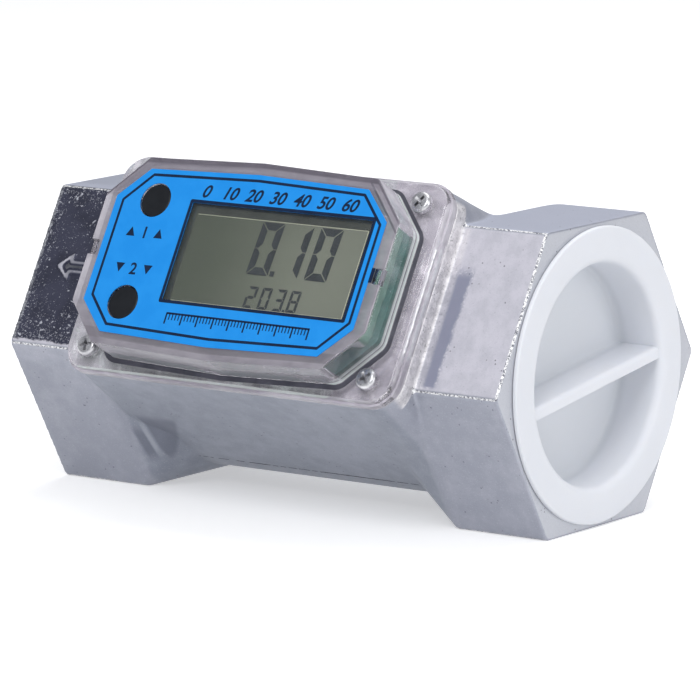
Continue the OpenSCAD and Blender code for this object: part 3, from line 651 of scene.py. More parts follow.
def display_glass():
    """The polariser of the display, darker and greener towards the outlet end; its lighter side towards the
    inlet is a painted reflection.
    """
    paint = Paint("display_glass", IOR=1.5, Specular_IOR_Level=0.2)
    cloud = paint.noise(30, 2) * 10 + paint.place(FLOW)
    paint.color(paint.mottled(cloud, "454D3F", "6E7465", MID - 8, MID + 34))
    paint.rough(paint.noise(3000, 2), 0.36, 0.42)
    return paint.material


def holder_plastic():
    """White frame of the display, whose outer walls carry a painted reflection of the board's green."""
    paint = plain("white_plastic", "DCDDDE", "E6E6E6", 0.45)
    outer = abs(paint.place(FLOW) - (MID + 10)).ramp(28.5, 29.2)
    paint.color(paint.mix(outer, "DCDDDE", paint.mottled(paint.noise(260, 3), "4F7868", "6F9585")))
    return paint.material


def cap_white():
    paint = Paint("cap_white", Subsurface_Weight=0.25, Subsurface_Scale=0.002, IOR=1.5)
    paint.shader.inputs["Subsurface Radius"].default_value = (1.0, 0.9, 0.8)
    shade = paint.mix(paint.noise(60, 3, 0.5), "DFE1E7", "E6E8ED")
    # Painted shade: the floor deep in the recess is darker
    deep = paint.place(FLOW).ramp(CAP_FRONT - 9, CAP_FRONT - 11.5)
    paint.color(shade.mixed("D9DCE1", deep))
    paint.rough(paint.noise(700, 3), 0.42, 0.55)
    paint.bumpy(paint.noise(900, 3), 0.00001, 0.5)
    return paint.material


def circuit_green():
    """Solder mask with copper tracks that show through it as lighter lines."""
    paint = Paint("board_green", Coat_Weight=0.4, Coat_Roughness=0.1)
    tracks = paint.value("TexBrick", "Fac", Vector=paint.position, Scale=420)
    base = paint.mix(tracks, "3F6F66", "4F8478")
    paint.color(paint.mottled(paint.noise(300, 3), base, "3A6A60", 0.4, 0.6))
    paint.rough(paint.noise(1500, 2), 0.3, 0.4)
    paint.bumpy(tracks, 0.00003, 0.5)
    return paint.material


def wound_copper():
    paint = Paint("copper", Metallic=1.0)
    turns = paint.value("TexWave", "Fac", Vector=paint.position, Scale=900, Distortion=0.4)
    paint.color(paint.mix(turns, "7A3E1C", "C57A45"))
    paint.rough(paint.noise(900, 2), 0.3, 0.4)
    paint.bumpy(turns, 0.00008)
    return paint.material


def pale_seal():
    """The seal that shows through the cover's flange, with painted light and shade in clouds where the
    moulding above it is uneven.
    """
    paint = plain("gasket_rubber", "A6A3AA", "B4B1B8", 0.5)
    cloud = paint.noise(150, 3, 0.6, distortion=0.8)
    tone = paint.mottled(cloud, "8D8A91", "A9A6AD", 0.3, 0.5)
    paint.color(tone.mixed("D3D0D5", cloud.ramp(0.52, 0.68)))
    return paint.material


def battery_jacket():
    paint = plain("battery_jacket", "A8641C", "B06C22", 0.3, grain=700, bump=0.000005)
    paint.color(paint.mottled(paint.place(FLOW), "1C1D20", "B8742A", MID - 6, MID - 5.8))
    return paint.material


METAL = {"Metallic": 1.0}
DULL = {"Specular_IOR_Level": 0.2}
DULLER = {"Specular_IOR_Level": 0.1}
# Two tones, the roughness, and what else differs from a plain surface
PLAIN = {
    "support_plastic": ("2C2C2E", "343436", 0.5),
    "rotor_plastic": ("E4E3DA", "DAD9D0", 0.4),
    "spring_steel": ("6A6C70", "7C7E82", 0.35, METAL),
    "ground_steel": ("C4C6C9", "D0D2D4", 0.2, METAL),
    "bronze": ("B08048", "9A6C3C", 0.4, METAL),
    "washer_plastic": ("D2C8A4", "DCD2B0", 0.45),
    "magnet": ("9A9A9E", "ACACB0", 0.2, METAL),
    "bobbin_plastic": ("E6E6E2", "DCDCD8", 0.45),
    "ferrite": ("3A3A3C", "2E2E30", 0.6, {"bump": 0.00004}),
    "tinned_wire": ("C0C2C4", "CCCED0", 0.28, METAL),
    "tray_plastic": ("1E1E20", "262628", 0.5),
    "chip_black": ("1A1A1C", "242426", 0.45),
    "can_metal": ("BEC0C4", "CACCCF", 0.25, METAL),
    "capacitor_sleeve": ("1B2748", "223056", 0.3),
    "contact_rubber": ("2E2E2E", "3A3A3A", 0.7),
    "reflector": ("B6B8AE", "C2C4BA", 0.4),
    "screw_steel": ("B6B6B8", "C4C4C6", 0.3, METAL),
    "chrome": ("E2E2E4", "B8B8BC", 0.3, {"grain": 3000, "bump": 0.00003, **METAL}),
    "label_blue": ("1A8FE6", "2094EA", 0.42, {"grain": 1400, "bump": 0.000004, **DULL}),
    "button_rubber": ("12151A", "181B20", 0.38, {"bump": 0.000004, "Specular_IOR_Level": 0.25}),
    "navy_ink": ("0A1F3C", "0F2646", 0.45, {"grain": 2000, "bump": 0.000002, **DULL}),
    "display_segment": ("262C2E", "2E3436", 0.4, {"grain": 2500, "bump": 0.000001, **DULLER}),
    "display_mask": ("30352F", "3C423B", 0.5, {"grain": 1200, "bump": 0.000002, **DULLER}),
    "display_rim": ("A8AC92", "B2B69E", 0.4, {"grain": 2500, "bump": 0.000001}),
    "casting_seam": ("3E4047", "55575E", 0.55, {"grain": 2500, "bump": 0.00002, **METAL}),
    # Painted dark reflection, for the field inside the flow arrow
    "dark_reflection_metal": ("50525A", "6A6C74", 0.5, {"grain": 1800, "bump": 0.00003, "Metallic": 0.5}),
    "foot_line_dark": ("3C3C47", "4B4B56", 0.5, {"grain": 1600}),
}
materials = {
    "cast_aluminium": cast_aluminium(),
    "copper": wound_copper(),
    "battery_jacket": battery_jacket(),
    "board_green": circuit_green(),
    "white_plastic": holder_plastic(),
    "display_glass": display_glass(),
    "gasket_rubber": pale_seal(),
    "clear_plastic": clear_plastic(),
    "cap_white": cap_white(),
}
for look, (tone, second, roughness, *extra) in PLAIN.items():
    materials[look] = plain(look, tone, second, roughness, **dict(*extra)).material

for part in frame["record"]["subparts"]:
    frame["nodes"][part["node"]].data.materials[0] = materials[part["material_slot"]]


# BODY CASTING

BARREL_R = 33
ARROW_TIP_X = 6.8
ARROW_HEAD_LEN = 4.6
ARROW_HEAD_W = 7.6
ARROW_TAIL_LEN = 8.4
ARROW_TAIL_W = 3.2
ARROW_LINE = 0.8
VOXEL = 0.00038
SMOOTHING_STEPS = 4
DECIMATE_SHARE = 0.2
PORT_R = 29.2
PORT_DEPTH = 22
TURNED_REACH = 0.0006
# Where the collars' tapers run into the housing's back, and how much the mould rounds the valley there
VALLEY_FROM = 0.1035
VALLEY_TO = 0.1225
VALLEY_RISE = 0.004
VALLEY_STEPS = 130
THREAD_PITCH = 25.4 / 11.5
THREAD_CREST = 0.75
THREAD_START = 1.6
THREAD_LEN = 19
THREAD_STEPS = 72


def on_the_port(point):
    """Where a point near a port's mouth lies once the mouth is turned: on its wall and its end face."""
    edge = PORT_R * MM
    radius = math.hypot(point.y, point.z)
    end = BODY_LOW.x if point.x < MID_X else BODY_HIGH.x
    depth = abs(point.x - end)
    near_wall = abs(radius - edge) < TURNED_REACH and depth < PORT_DEPTH * MM
    near_face = depth < TURNED_REACH and radius < edge + 2 * TURNED_REACH
    grow = edge / radius if near_wall and radius else 1.0
    return Vector((end if near_face else point.x, point.y * grow, point.z * grow))


def valley_share(point):
    """How much a point lies in the upper valleys between the collars and the housing's back."""
    x = MID_X + abs(point.x - MID_X)
    inside = min(x - VALLEY_FROM, VALLEY_TO - x, point.z - 0.012, 0.0345 - point.dot(FACE_OUT)) / VALLEY_RISE
    radius = math.hypot(point.y, point.z)
    return min(max(inside, 0.0), 1.0) if radius > 0.0305 else 0.0


def casting():
    """The body with the rounded edges and corners of a casting."""
    source = frame["nodes"]["body"].data.copy()
    bm = bmesh.new()
    bm.from_mesh(source)
    bmesh.ops.remove_doubles(bm, verts=bm.verts, dist=1e-6)
    bm.to_mesh(source)
    bm.free()
    piece = added("casting", source)
    step = piece.modifiers.new("skin", "REMESH")
    step.mode = "VOXEL"
    step.voxel_size = VOXEL * 1
    step = piece.modifiers.new("soften", "SMOOTH")
    step.factor = 0.5
    step.iterations = SMOOTHING_STEPS // 1
    mesh = evaluated(piece)
    shares = {level: [] for level in range(1, 9)}
    for vertex in mesh.vertices:
        vertex.co = on_the_port(vertex.co)
        level = round(8 * valley_share(vertex.co))
        if level:
            shares[level].append(vertex.index)
    piece = added("casting", mesh)
    valley = piece.vertex_groups.new(name="valley")
    for level, indices in shares.items():
        valley.add(indices, level / 8, "REPLACE")
    step = piece.modifiers.new("valleys", "SMOOTH")
    step.factor = 0.5
    step.iterations = VALLEY_STEPS // 1
    step.vertex_group = "valley"
    step = piece.modifiers.new("thin", "DECIMATE")
    step.ratio = DECIMATE_SHARE
    mesh = evaluated(piece)
    body = dressed("meter_casting", mesh, "meter_body", "cast_aluminium", sharp_angle=50)
    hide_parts("body")


casting()


def port_threads():
    """The thread ridges in both ports, which run out before the port's floor."""
    turns = int(THREAD_LEN / THREAD_PITCH)
    for name, start, inward in (("outlet_thread", 0.0, 1), ("inlet_thread", BODY_LEN, -1)):
        bm = bmesh.new()
        rings = []
        count = turns * THREAD_STEPS
        for k in range(count + 1):
            turn = math.tau * k / THREAD_STEPS
            x = start + inward * (THREAD_START + THREAD_PITCH * k / THREAD_STEPS)
            height = THREAD_CREST * min(1.0, k / THREAD_STEPS, (count - k) / THREAD_STEPS)
            foot_r = PORT_R + 0.2
            crest_r = PORT_R - max(height, 0.02)
            half = THREAD_PITCH * 0.46
            ring = [(x - half, foot_r), (x - 0.2, crest_r), (x + 0.2, crest_r), (x + half, foot_r)]
            rings.append([Vector((r * math.cos(turn), r * math.sin(turn), at)) for at, r in ring])
        add_loft(bm, rings)
        finished(name, bm, AXIS, "meter_body", "cast_aluminium", sharp_angle=40)


port_threads()


def parting_line():
    """The fine seam that the mould left along the barrel, opposite the display's upper side."""
    random.seed(7)
    bm = bmesh.new()
    start, end, step = 36, 112, 0.8
    place = matrix_of(FLOW, FACE_OUT, -FACE_UP, Vector((0, 0, 0)))
    count = int((end - start) / step)
    for k in range(count):
        x = start + k * step
        strong = 54 < x < 60 or 76 < x < 97
        if not strong and random.random() < 0.35:
            continue
        half = random.uniform(0.1, 0.2) if strong else random.uniform(0.04, 0.1)
        ring = rectangle(x, -half, x + step, half)
        add_slab(bm, ring, BARREL_R - 0.2, 0.24)
    finished("parting_line", bm, place, "meter_body", "cast_aluminium", "casting_seam")


parting_line()


def arrow_field():
    """The face inside the raised line of the flow arrow, painted dark as a painted reflection like the flat
    round it.
    """
    tip = ARROW_TIP_X - MID + ARROW_LINE * 1.6
    back = ARROW_TIP_X - MID + ARROW_HEAD_LEN - ARROW_LINE / 2
    end = ARROW_TIP_X - MID + ARROW_HEAD_LEN + ARROW_TAIL_LEN
    head = ARROW_HEAD_W / 2 - 2 * ARROW_LINE
    tail = ARROW_TAIL_W / 2 - ARROW_LINE / 2
    points = ((tip, 0), (back, -head), (back, -tail), (end, -tail), (end, tail), (back, tail), (back, head))
    bm = bmesh.new()
    add_slab(bm, [Vector(p) for p in points], HEX_FLAT - 0.2, 0.26)
    finished("arrow_field", bm, FACE, "meter_body", "cast_aluminium", "dark_reflection_metal")


arrow_field()


# COVER


def crowned_outline(half_len, half_w, crown, cut, centre=(0, 0)):
    """A ten-sided outline with cut corners, and long sides that rise to their middle."""
    x = half_len
    y = half_w - crown
    side_x = x - cut[0]
    end_y = y - cut[1]
    return [Vector(p) + Vector(centre) for p in (
        (side_x, -y), (x, -end_y), (x, end_y), (side_x, y), (0, half_w),
        (-side_x, y), (-x, end_y), (-x, -end_y), (-side_x, -y), (0, -half_w),
    )]


FOOT = crowned_outline(DOME_X, DOME_Y, DOME_CROWN, DOME_CUT)
ROOF = inset(FOOT, DOME_DRAFT)
CAVITY = inset(FOOT, COVER_T)


def leaning_rings(low, low_r, high, high_r, path):
    """Rings of a wall that leans from one outline to another. The path holds (share, inset, level)."""
    rings = []
    for share, inward, z in path:
        radius = low_r + (high_r - low_r) * share
        ring = mixed(rounded(inset(low, inward), radius), rounded(inset(high, inward), radius), share)
        rings.append(at_level(ring, z))
    return rings


def cover_shell():
    flange = rectangle(-FLANGE_LEN / 2, -FLANGE_W / 2, FLANGE_LEN / 2, FLANGE_W / 2)
    under_z = FLANGE_Z + 0.04
    shelf_z = FLANGE_Z + 1.8
    brow = 1.1
    rows = [(0.25, under_z), (0, under_z + 0.25)]
    rows += bend((0, shelf_z - 0.3), (0, shelf_z), (0.3, shelf_z), 3)
    rows += bend((FLANGE_STEP, shelf_z), (FLANGE_STEP, FLANGE_TOP), (FLANGE_STEP + brow, FLANGE_TOP), 6)
    plate = bmesh.new()
    add_loft(plate, [
        at_level(rounded(inset(flange, d), FLANGE_CORNER_R - d), z) for d, z in rows
    ])

    foot_r = 0.4
    crest_r = 0.45
    path = [(0, -foot_r, FLANGE_Z + 0.5)]
    path += bend((0, -foot_r, FLANGE_TOP), (0, 0, FLANGE_TOP), (0, 0, FLANGE_TOP + foot_r), 4)
    path += bend((0.95, 0, ROOF_Z - crest_r), (1, 0, ROOF_Z), (1, crest_r, ROOF_Z), 5)
    dome = bmesh.new()
    add_loft(dome, leaning_rings(FOOT, FOOT_R, ROOF, ROOF_R, path))

    inner_roof = ROOF_Z - ROOF_T
    boss = [(BOSS_R, BOARD_Z), (BOSS_R, inner_roof - 0.5), (BOSS_R + 0.6, ROOF_Z - 0.6)]
    path = [(0, 0, FLANGE_Z - 1)]
    path += bend((0, 0, inner_roof - crest_r), (0, 0, inner_roof), (0, crest_r, inner_roof), 4)
    cavity = bmesh.new()
    add_loft(cavity, leaning_rings(CAVITY, CAVITY_R, CAVITY, CAVITY_R, path))
    bosses = bmesh.new()
    for place in BOSS_PLACES:
        add_lathe(bosses, boss, 40, place)
    hollow = carved(cavity, ("DIFFERENCE", bosses))

    holes = bmesh.new()
    for place in SCREW_PLACES:
        add_lathe(holes, [(SCREW_HOLE_R, FLANGE_Z - 1), (SCREW_HOLE_R, FLANGE_TOP + 1)], 40, place)
    for place in BOSS_PLACES:
        add_lathe(holes, [(BOSS_HOLE_R, BOARD_Z - 1), (BOSS_HOLE_R, BOARD_Z + 3.9)], 24, place)
    for y in (-BUTTON_Y, BUTTON_Y):
        add_lathe(holes, [(BUTTON_HOLE_R, inner_roof - 1), (BUTTON_HOLE_R, ROOF_Z + 1)], 64, (BUTTON_X, y))
    notch_len, notch_w, notch_depth = NOTCH
    for side in (-1, 1):
        ends = sorted((side * (DOME_X - notch_len), side * (DOME_X + 1)))
        corners = rectangle(ends[0], -notch_w / 2, ends[1], notch_w / 2)
        add_slab(holes, rounded(corners, 0.4, 3), ROOF_Z - notch_depth, notch_depth + 1)
    bm = carved(plate, ("UNION", dome), ("DIFFERENCE", hollow), ("DIFFERENCE", holes))
    shell = finished("cover_shell", bm, FACE, "meter_body", "clear_plastic", sharp_angle=30)
    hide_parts("clear_cover")


cover_shell()


def dome_foot_line():
    """The dark line round the foot of the dome, wide below it and thin above."""
    bm = bmesh.new()
    outer = [p + Vector((0.1, -0.25)) for p in rounded(inset(FOOT, -1.1), FOOT_R + 1.1)]
    inner = rounded(FOOT, FOOT_R)
    add_frame(bm, outer, inner, FLANGE_TOP + 0.01, 0.12)
    finished("dome_foot_line", bm, FACE, "meter_body", "gasket_rubber", "foot_line_dark")


dome_foot_line()


# LABEL PRINT

PRINT_T = 0.03
BORDER_W = 0.7
LABEL_HALF = (DOME_X - 3.7, DOME_Y - 3.4)
LABEL = crowned_outline(*LABEL_HALF, 1, (7.8, 7.7))
BORDER = crowned_outline(38.75, 20.95, 0.95, (7.1, 7.3), (0.35, 0.25))
WINDOW = (-17.1, -11.6, 36.5, 13.8)
WINDOW_LINE = 0.8
PRINT_Z = LABEL_Z - PRINT_T / 3


def label_film():
    """The printed film on the roof, with its window and button holes."""
    film = bmesh.new()
    add_slab(film, rounded(LABEL, 0.3, 3), ROOF_Z, LABEL_Z - ROOF_Z)
    holes = bmesh.new()
    add_slab(holes, rounded(rectangle(*WINDOW), 0.3, 4), ROOF_Z - 1, LABEL_Z - ROOF_Z + 2)
    for y in (-BUTTON_Y, BUTTON_Y):
        add_lathe(holes, [(BUTTON_HOLE_R, ROOF_Z - 1), (BUTTON_HOLE_R, LABEL_Z + 1)], 64, (BUTTON_X, y))
    bm = carved(film, ("DIFFERENCE", holes))
    piece = finished("label_film", bm, FACE, "meter_body", "label_blue")
    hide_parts("face_label")


label_film()


def label_print():
    bm = bmesh.new()
    outer = rounded(BORDER, 0.5, 3)
    inner = rounded(inset(BORDER, BORDER_W), 0.3, 3)
    add_frame(bm, outer, inner, PRINT_Z, PRINT_T)
    window = rectangle(*WINDOW)
    outer = rounded(inset(window, -WINDOW_LINE), 0.5, 4)
    inner = rounded(inset(window, 0.02), 0.3, 4)
    add_frame(bm, outer, inner, PRINT_Z, PRINT_T)
    # The tab of the film that reaches to the notch
    add_slab(bm, rectangle(LABEL_HALF[0], -1.7, DOME_X - NOTCH[0] - 0.1, 2.0), ROOF_Z + 0.01, 0.15)
    finished("label_border", bm, FACE, "meter_body", "label_blue", "navy_ink")


label_print()


def add_bar(bm, x0, y0, x1, y1, z, height=PRINT_T):
    add_slab(bm, rectangle(x0, y0, x1, y1), z, height)


def label_scales():
    """A ruler where the lower printed words stand on such a label."""
    bm = bmesh.new()
    count = 45
    left, right = -14.2, 28
    for k in range(count + 1):
        x = left + (right - left) * k / count
        low = -17.7 if k % 5 == 0 else -16.6
        half = 0.22 if k % 5 == 0 else 0.15
        add_bar(bm, x - half, low, x + half, -14.9, PRINT_Z)
    add_bar(bm, left - 0.22, -15.2, right + 0.22, -14.7, PRINT_Z)
    finished("label_scales", bm, FACE, "meter_body", "label_blue", "navy_ink")


label_scales()


def add_number(bm, number, x, y, size, shear, weight):
    text = bpy.data.curves.new("number", "FONT")
    text.body = number
    text.size = size
    text.shear = shear
    text.align_x = "CENTER"
    text.offset = weight
    text.extrude = PRINT_T / 2
    mesh = evaluated(added("number", text))
    mesh.transform(Matrix.Translation((x, y, LABEL_Z + PRINT_T / 6)))
    bm.from_mesh(mesh)
    bpy.data.meshes.remove(mesh)


def add_pointer(bm, x, y, width, height):
    """A small triangle that points up, or down where the height is negative."""
    corners = [Vector(p) for p in ((x - width / 2, y), (x + width / 2, y), (x, y + height))]
    if height < 0:
        corners.reverse()
    add_slab(bm, corners, PRINT_Z, PRINT_T)


def label_numbers():
    """Plain numbers: a scale in the heading, and one at each button."""
    bm = bmesh.new()
    for k in range(7):
        add_number(bm, str(10 * k), -14.2 + 42.6 * k / 6, 15.4, 4.5, 0.3, 0.1)
    for number, y, tip in (("1", 3.4, 1), ("2", -6.1, -1)):
        middle = y + 1.45
        add_number(bm, number, BUTTON_X, y, 4.2, 0, 0.08)
        for side in (-1, 1):
            x = BUTTON_X + side * 4.2
            add_pointer(bm, x, middle - tip * 1.2, 2.6, tip * 2.4)
    finished("label_numbers", bm, FACE, "meter_body", "label_blue", "navy_ink")


label_numbers()


# DISPLAY

MASK_OPENING = (-15.8, -11.2, 35.2, 11.5)
SEGMENT_T = 0.04
# From where a mark is seen through the pane, on the label's plane, to where it lies on the glass
SEEN_SHIFT = Vector((-1.27, 0.32))
SLANT = 0.045
SEGMENTS = {
    "0": "abcdef", "1": "bc", "2": "abged", "3": "abgcd", "8": "abcdefg",
}


def lcd_mask():
    # A dark ring round the display's opening: partly the display's own dark border, partly painted shadow of
    # the window's edge above it
    bm = bmesh.new()
    outer = rounded(rectangle(-18.2, -13, 38, 15), 0.5, 3)
    inner = rounded(rectangle(*MASK_OPENING), 0.3, 3)
    add_frame(bm, outer, inner, GLASS_Z + 0.02, 0.06)
    finished("lcd_mask", bm, FACE, "meter_body", "display_glass", "display_mask")
    bm = bmesh.new()
    x0, y0, x1, y1 = MASK_OPENING
    z = GLASS_Z + 0.03
    add_bar(bm, x1 - 0.25, y0, x1, y1, z, SEGMENT_T)
    add_bar(bm, x0 + 0.3, y0, x1 - 0.3, y0 + 0.2, z, SEGMENT_T)
    add_bar(bm, x0 + 0.3, y1 - 0.16, x1 - 0.3, y1, z, SEGMENT_T)
    finished("lcd_rim", bm, FACE, "meter_body", "display_glass", "display_rim")


lcd_mask()


def segment_outlines(width, height, t, gap):
    """The seven segments of a digit, each a bar with mitred ends."""
    middle = height / 2
    low = middle - t / 2
    high = middle + t / 2
    foot = middle + gap / 2
    top = [(gap, height), (width - gap, height), (width - t - gap, height - t), (t + gap, height - t)]
    left = [(0, foot), (t / 2, foot), (t, high + gap), (t, height - t - gap), (0, height - gap)]
    bar = [
        (gap + t / 2, middle), (t + gap, high), (width - t - gap, high),
        (width - gap - t / 2, middle), (width - t - gap, low), (t + gap, low),
    ]

    def across(points):
        return [(width - x, y) for x, y in points]

    def down(points):
        return [(x, height - y) for x, y in points]

    return {
        "a": top, "b": across(left), "c": across(down(left)), "d": down(top),
        "e": down(left), "f": left, "g": bar,
    }


def add_digit(bm, digit, corner, width, height, t, gap):
    outlines = segment_outlines(width, height, t, gap)
    for name in SEGMENTS[digit]:
        ring = [Vector(p) for p in outlines[name]]
        area = sum(a.x * b.y - b.x * a.y for a, b in zip(ring, ring[1:] + ring[:1]))
        if area < 0:
            ring.reverse()
        placed = [Vector((p.x + corner.x + SLANT * p.y, p.y + corner.y)) for p in ring]
        add_slab(bm, placed, GLASS_Z + 0.03, SEGMENT_T)


def lcd_digits():
    bm = bmesh.new()
    low, high = -2.76, 10.76
    for digit, x in (("0", 5.0), ("1", 13.6), ("0", 22.2)):
        add_digit(bm, digit, Vector((x, low)) + SEEN_SHIFT, 6.5, high - low, 1.95, 0.2)
    x, y = Vector((12.0, low)) + SEEN_SHIFT
    add_bar(bm, x, y, x + 1.3, y + 1.35, GLASS_Z + 0.03, SEGMENT_T)
    low, high = -11.3, -5.7
    for digit, x in (("2", 7.1), ("0", 11.3), ("3", 15.6), ("8", 19.8)):
        add_digit(bm, digit, Vector((x, low)) + SEEN_SHIFT, 2.9, high - low, 0.72, 0.1)
    x, y = Vector((18.9, low)) + SEEN_SHIFT
    add_bar(bm, x, y, x + 0.6, y + 0.6, GLASS_Z + 0.03, SEGMENT_T)
    finished("lcd_digits", bm, FACE, "meter_body", "display_glass", "display_segment")


lcd_digits()


# BUTTONS


def button_piece(node, y):
    top = reach(node, FACE_OUT)
    bottom = -reach(node, -FACE_OUT)
    lip = 0.5
    flange_z = ROOF_Z - ROOF_T - 1.5
    profile = [(0.001, bottom), (1.8, bottom), (2.0, bottom + 0.2), (2.0, flange_z)]
    profile += [(5.1, flange_z), (5.2, flange_z + 0.1), (5.2, flange_z + 1.0), (5.1, flange_z + 1.1)]
    profile += [(BUTTON_R, flange_z + 1.1)]
    profile += bend((BUTTON_R, top - 0.25 - lip), (BUTTON_R, top - 0.25), (BUTTON_R - lip, top - 0.12))
    profile += bend((BUTTON_R - lip - 0.3, top - 0.08), (2.0, top + 0.02), (0.001, top))
    bm = bmesh.new()
    add_lathe(bm, profile, 64, (BUTTON_X, y))
    piece = finished(node + "_dome", bm, FACE, node, "button_rubber", sharp_angle=40)
    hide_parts(node)


button_piece("display_button", BUTTON_Y)
button_piece("calibrate_button", -BUTTON_Y)


# SCREWS

SCREW_HEAD_R = 2.7
SCREW_HEAD_H = 1.9
SCREW_R = 1.5
SCREW_LEN = 11
SCREW_TURNS = (12, 71, 38, 55)


def recess_wedge(turn):
    """Half of the crossed recess, as one blade of a driver bit's tip."""
    bm = bmesh.new()
    wide = rectangle(-1.9, -0.42, 1.9, 0.42)
    deep = rectangle(-0.7, -0.28, 0.7, 0.28)
    spin = Matrix.Rotation(math.radians(turn), 3, "Z")
    rings = [at_level(deep, SCREW_HEAD_H - 1.5), at_level(wide, SCREW_HEAD_H + 0.3)]
    return add_loft(bm, [[spin @ p for p in ring] for ring in rings])


def screws():
    bm = bmesh.new()
    profile = [(0.001, -SCREW_LEN), (SCREW_R - 0.5, -SCREW_LEN), (SCREW_R, -SCREW_LEN + 0.6), (SCREW_R, 0.0)]
    profile += [(SCREW_HEAD_R - 0.15, 0.0), (SCREW_HEAD_R, 0.12)]
    top = SCREW_HEAD_H
    profile += bend((SCREW_HEAD_R, 0.9), (SCREW_HEAD_R - 0.1, top - 0.1), (1.9, top - 0.06), 8)
    profile += [(1.0, top - 0.02), (0.001, top)]
    for (x, y), turn in zip(SCREW_PLACES, SCREW_TURNS):
        head = bmesh.new()
        add_lathe(head, profile, 48)
        head = carved(head, ("DIFFERENCE", recess_wedge(0)), ("DIFFERENCE", recess_wedge(90)))
        spin = Matrix.Rotation(math.radians(turn), 4, "Z")
        bmesh.ops.transform(head, matrix=Matrix.Translation((x, y, FLANGE_TOP)) @ spin, verts=head.verts)
        mesh = mesh_of("screw", head)
        bm.from_mesh(mesh)
        bpy.data.meshes.remove(mesh)
    piece = finished("cover_screw_set", bm, FACE, "meter_body", "chrome")
    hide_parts("cover_screws")


screws()


# INLET CAP

CAP_RIM_R = -CAP_LOW.z / MM
CAP_RIM_T = 1.05
CAP_BACK = CAP_FRONT - CAP_RIM_T
CAP_SKIRT_R = 28.1
CAP_INNER_R = 27.0
CAP_END = CAP_LOW.x / MM
CAP_FLOOR = CAP_FRONT - 12.25
CAP_FLOOR_T = 1.5
GRIP_T = 3
GRIP_LOW = 2.1
GRIP_TOP = CAP_FRONT - 1
GRIP_ANGLE = 8


def cap():
    lip = 2.4
    soft = 1.8
    under = CAP_FLOOR - CAP_FLOOR_T
    wall = CAP_INNER_R
    profile = [(0.001, under)]
    profile += bend((wall - 0.8, under), (wall, under), (wall, under - 0.8))
    profile += [(wall, CAP_END + 0.2), (wall + 0.2, CAP_END)]
    profile += [(CAP_SKIRT_R - 0.3, CAP_END), (CAP_SKIRT_R, CAP_END + 0.4)]
    profile += [(CAP_SKIRT_R, CAP_BACK - 0.3), (CAP_SKIRT_R + 0.3, CAP_BACK)]
    profile += [(CAP_RIM_R - 0.1, CAP_BACK), (CAP_RIM_R, CAP_BACK + 0.1)]
    profile += bend((CAP_RIM_R, CAP_FRONT - 0.6), (CAP_RIM_R, CAP_FRONT), (CAP_RIM_R - 0.6, CAP_FRONT), 5)
    profile += bend((wall + lip, CAP_FRONT), (wall, CAP_FRONT), (wall, CAP_FRONT - lip), 8)
    profile += bend((wall, CAP_FLOOR + soft), (wall, CAP_FLOOR), (wall - soft, CAP_FLOOR), 8)
    profile += [(0.001, CAP_FLOOR)]
    shell = bmesh.new()
    add_lathe(shell, profile, 160)
    # The bar's section: feet that flare into the floor, and a top rounded more on its upper side
    half = GRIP_T / 2
    flare = 1.4
    section = []
    for side, top_r in ((1, 1.4), (-1, 0.3)):
        half_section = [(half + flare, CAP_FLOOR - 0.3)]
        half_section += bend((half + flare, CAP_FLOOR), (half, CAP_FLOOR), (half, CAP_FLOOR + flare), 6)
        half_section += bend((half, GRIP_TOP - top_r), (half, GRIP_TOP), (half - top_r, GRIP_TOP), 6)
        section += [(side * y - GRIP_LOW, z) for y, z in half_section[::side]]
    bar = bmesh.new()
    end = CAP_INNER_R + 0.5
    add_loft(bar, [[Vector((x, y, z)) for y, z in section] for x in (-end, end)])
    spin = Matrix.Rotation(math.radians(GRIP_ANGLE), 4, "Z")
    bmesh.ops.transform(bar, matrix=spin, verts=bar.verts)
    bm = carved(shell, ("UNION", bar))
    piece = finished("cap_shell", bm, AXIS, "inlet_cap", "cap_white")
    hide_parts("inlet_cap")


cap()


# STAGE

FLOOR_Z = BODY_LOW.z
# The world's colour and strength, as it lights the object and as the camera sees it
LIT = ((0.93, 0.95, 1, 1), 0.45)
SEEN = ((1, 1, 1, 1), 1.0)


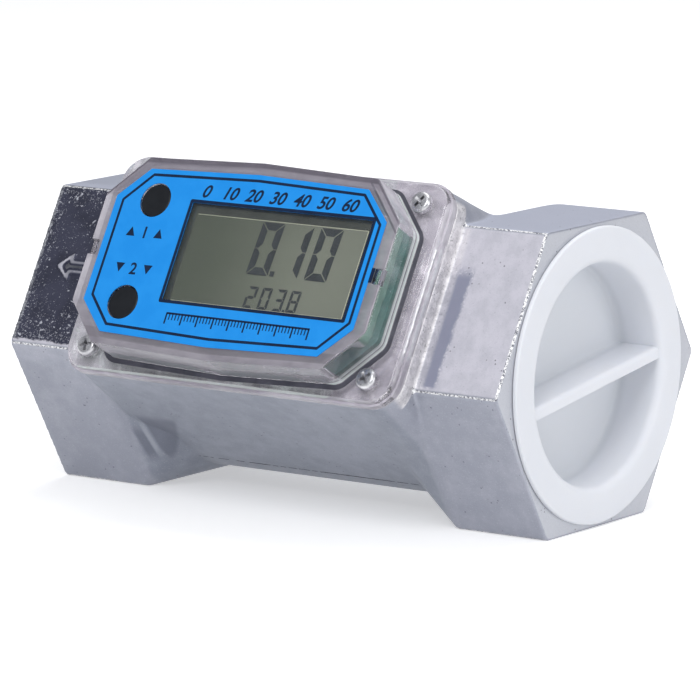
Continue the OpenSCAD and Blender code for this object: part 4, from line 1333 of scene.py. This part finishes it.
def stage():
    bpy.ops.mesh.primitive_plane_add(size=6, location=(0, 0, FLOOR_Z))
    floor = bpy.context.object
    floor.name = "floor"
    paint = Paint("floor_white", Roughness=0.8)
    paint.color(paint.mix(paint.noise(3, 2), "E6E6E6", "E9E9E9"))
    glow = paint.node("Emission", Color="FFFFFF", Strength=0.42)
    none = paint.node("Emission", Color="000000", Strength=0.0)
    ray = paint.node("LightPath").outputs
    seen = paint.math("ADD", ray["Is Camera Ray"], ray["Is Glossy Ray"]) + ray["Is Transmission Ray"]
    either = paint.made("MixShader", seen.clamped(), none.outputs[0], glow.outputs[0])
    paint.surface(paint.made("AddShader", paint.shader.outputs[0], either))
    floor.data.materials.append(paint.material)


def world():
    made = bpy.data.worlds.new("studio")
    bpy.context.scene.world = made
    made.use_nodes = True
    tree = made.node_tree
    tree.nodes.clear()
    output = tree.nodes.new("ShaderNodeOutputWorld")
    ray = tree.nodes.new("ShaderNodeLightPath")
    either = tree.nodes.new("ShaderNodeMixShader")
    tree.links.new(ray.outputs["Is Camera Ray"], either.inputs[0])
    for index, (tone, strength) in enumerate((LIT, SEEN), start=1):
        shader = tree.nodes.new("ShaderNodeBackground")
        shader.inputs["Color"].default_value = tone
        shader.inputs["Strength"].default_value = strength
        tree.links.new(shader.outputs[0], either.inputs[index])
    tree.links.new(either.outputs[0], output.inputs["Surface"])


def area_light(name, place, target, size, power, tone=(1, 1, 1)):
    data = bpy.data.lights.new(name, "AREA")
    data.shape = "RECTANGLE"
    data.size, data.size_y = size
    data.energy = power
    data.color = tone
    lamp = added(name, data)
    lamp.location = place
    lamp.rotation_euler = (Vector(target) - Vector(place)).to_track_quat("-Z", "Y").to_euler()


def lights():
    centre = (MID_X, 0, 0)
    area_light("key", (0.35, -1.25, 1.15), centre, (1.0, 0.8), 11.5)
    area_light("strip", (0.9, -0.7, 1.1), centre, (0.06, 0.9), 1.6)
    area_light("overhead", (0.1, 0.45, 1.2), centre, (1.3, 1.0), 8)
    area_light("inlet_side", (1.5, 0.1, 0.35), centre, (0.8, 0.9), 5.2)


def camera():
    data = bpy.data.cameras.new("camera")
    data.lens = 285.01
    data.sensor_width = 36
    view = added("camera", data)
    view.location = (0.862966, -1.092498, 0.229220)
    view.rotation_euler = [math.radians(a) for a in (80.3115, 0.2304, 35.8224)]
    bpy.context.scene.camera = view


stage()
world()
lights()
camera()
bpy.context.scene.view_settings.view_transform = "Standard"
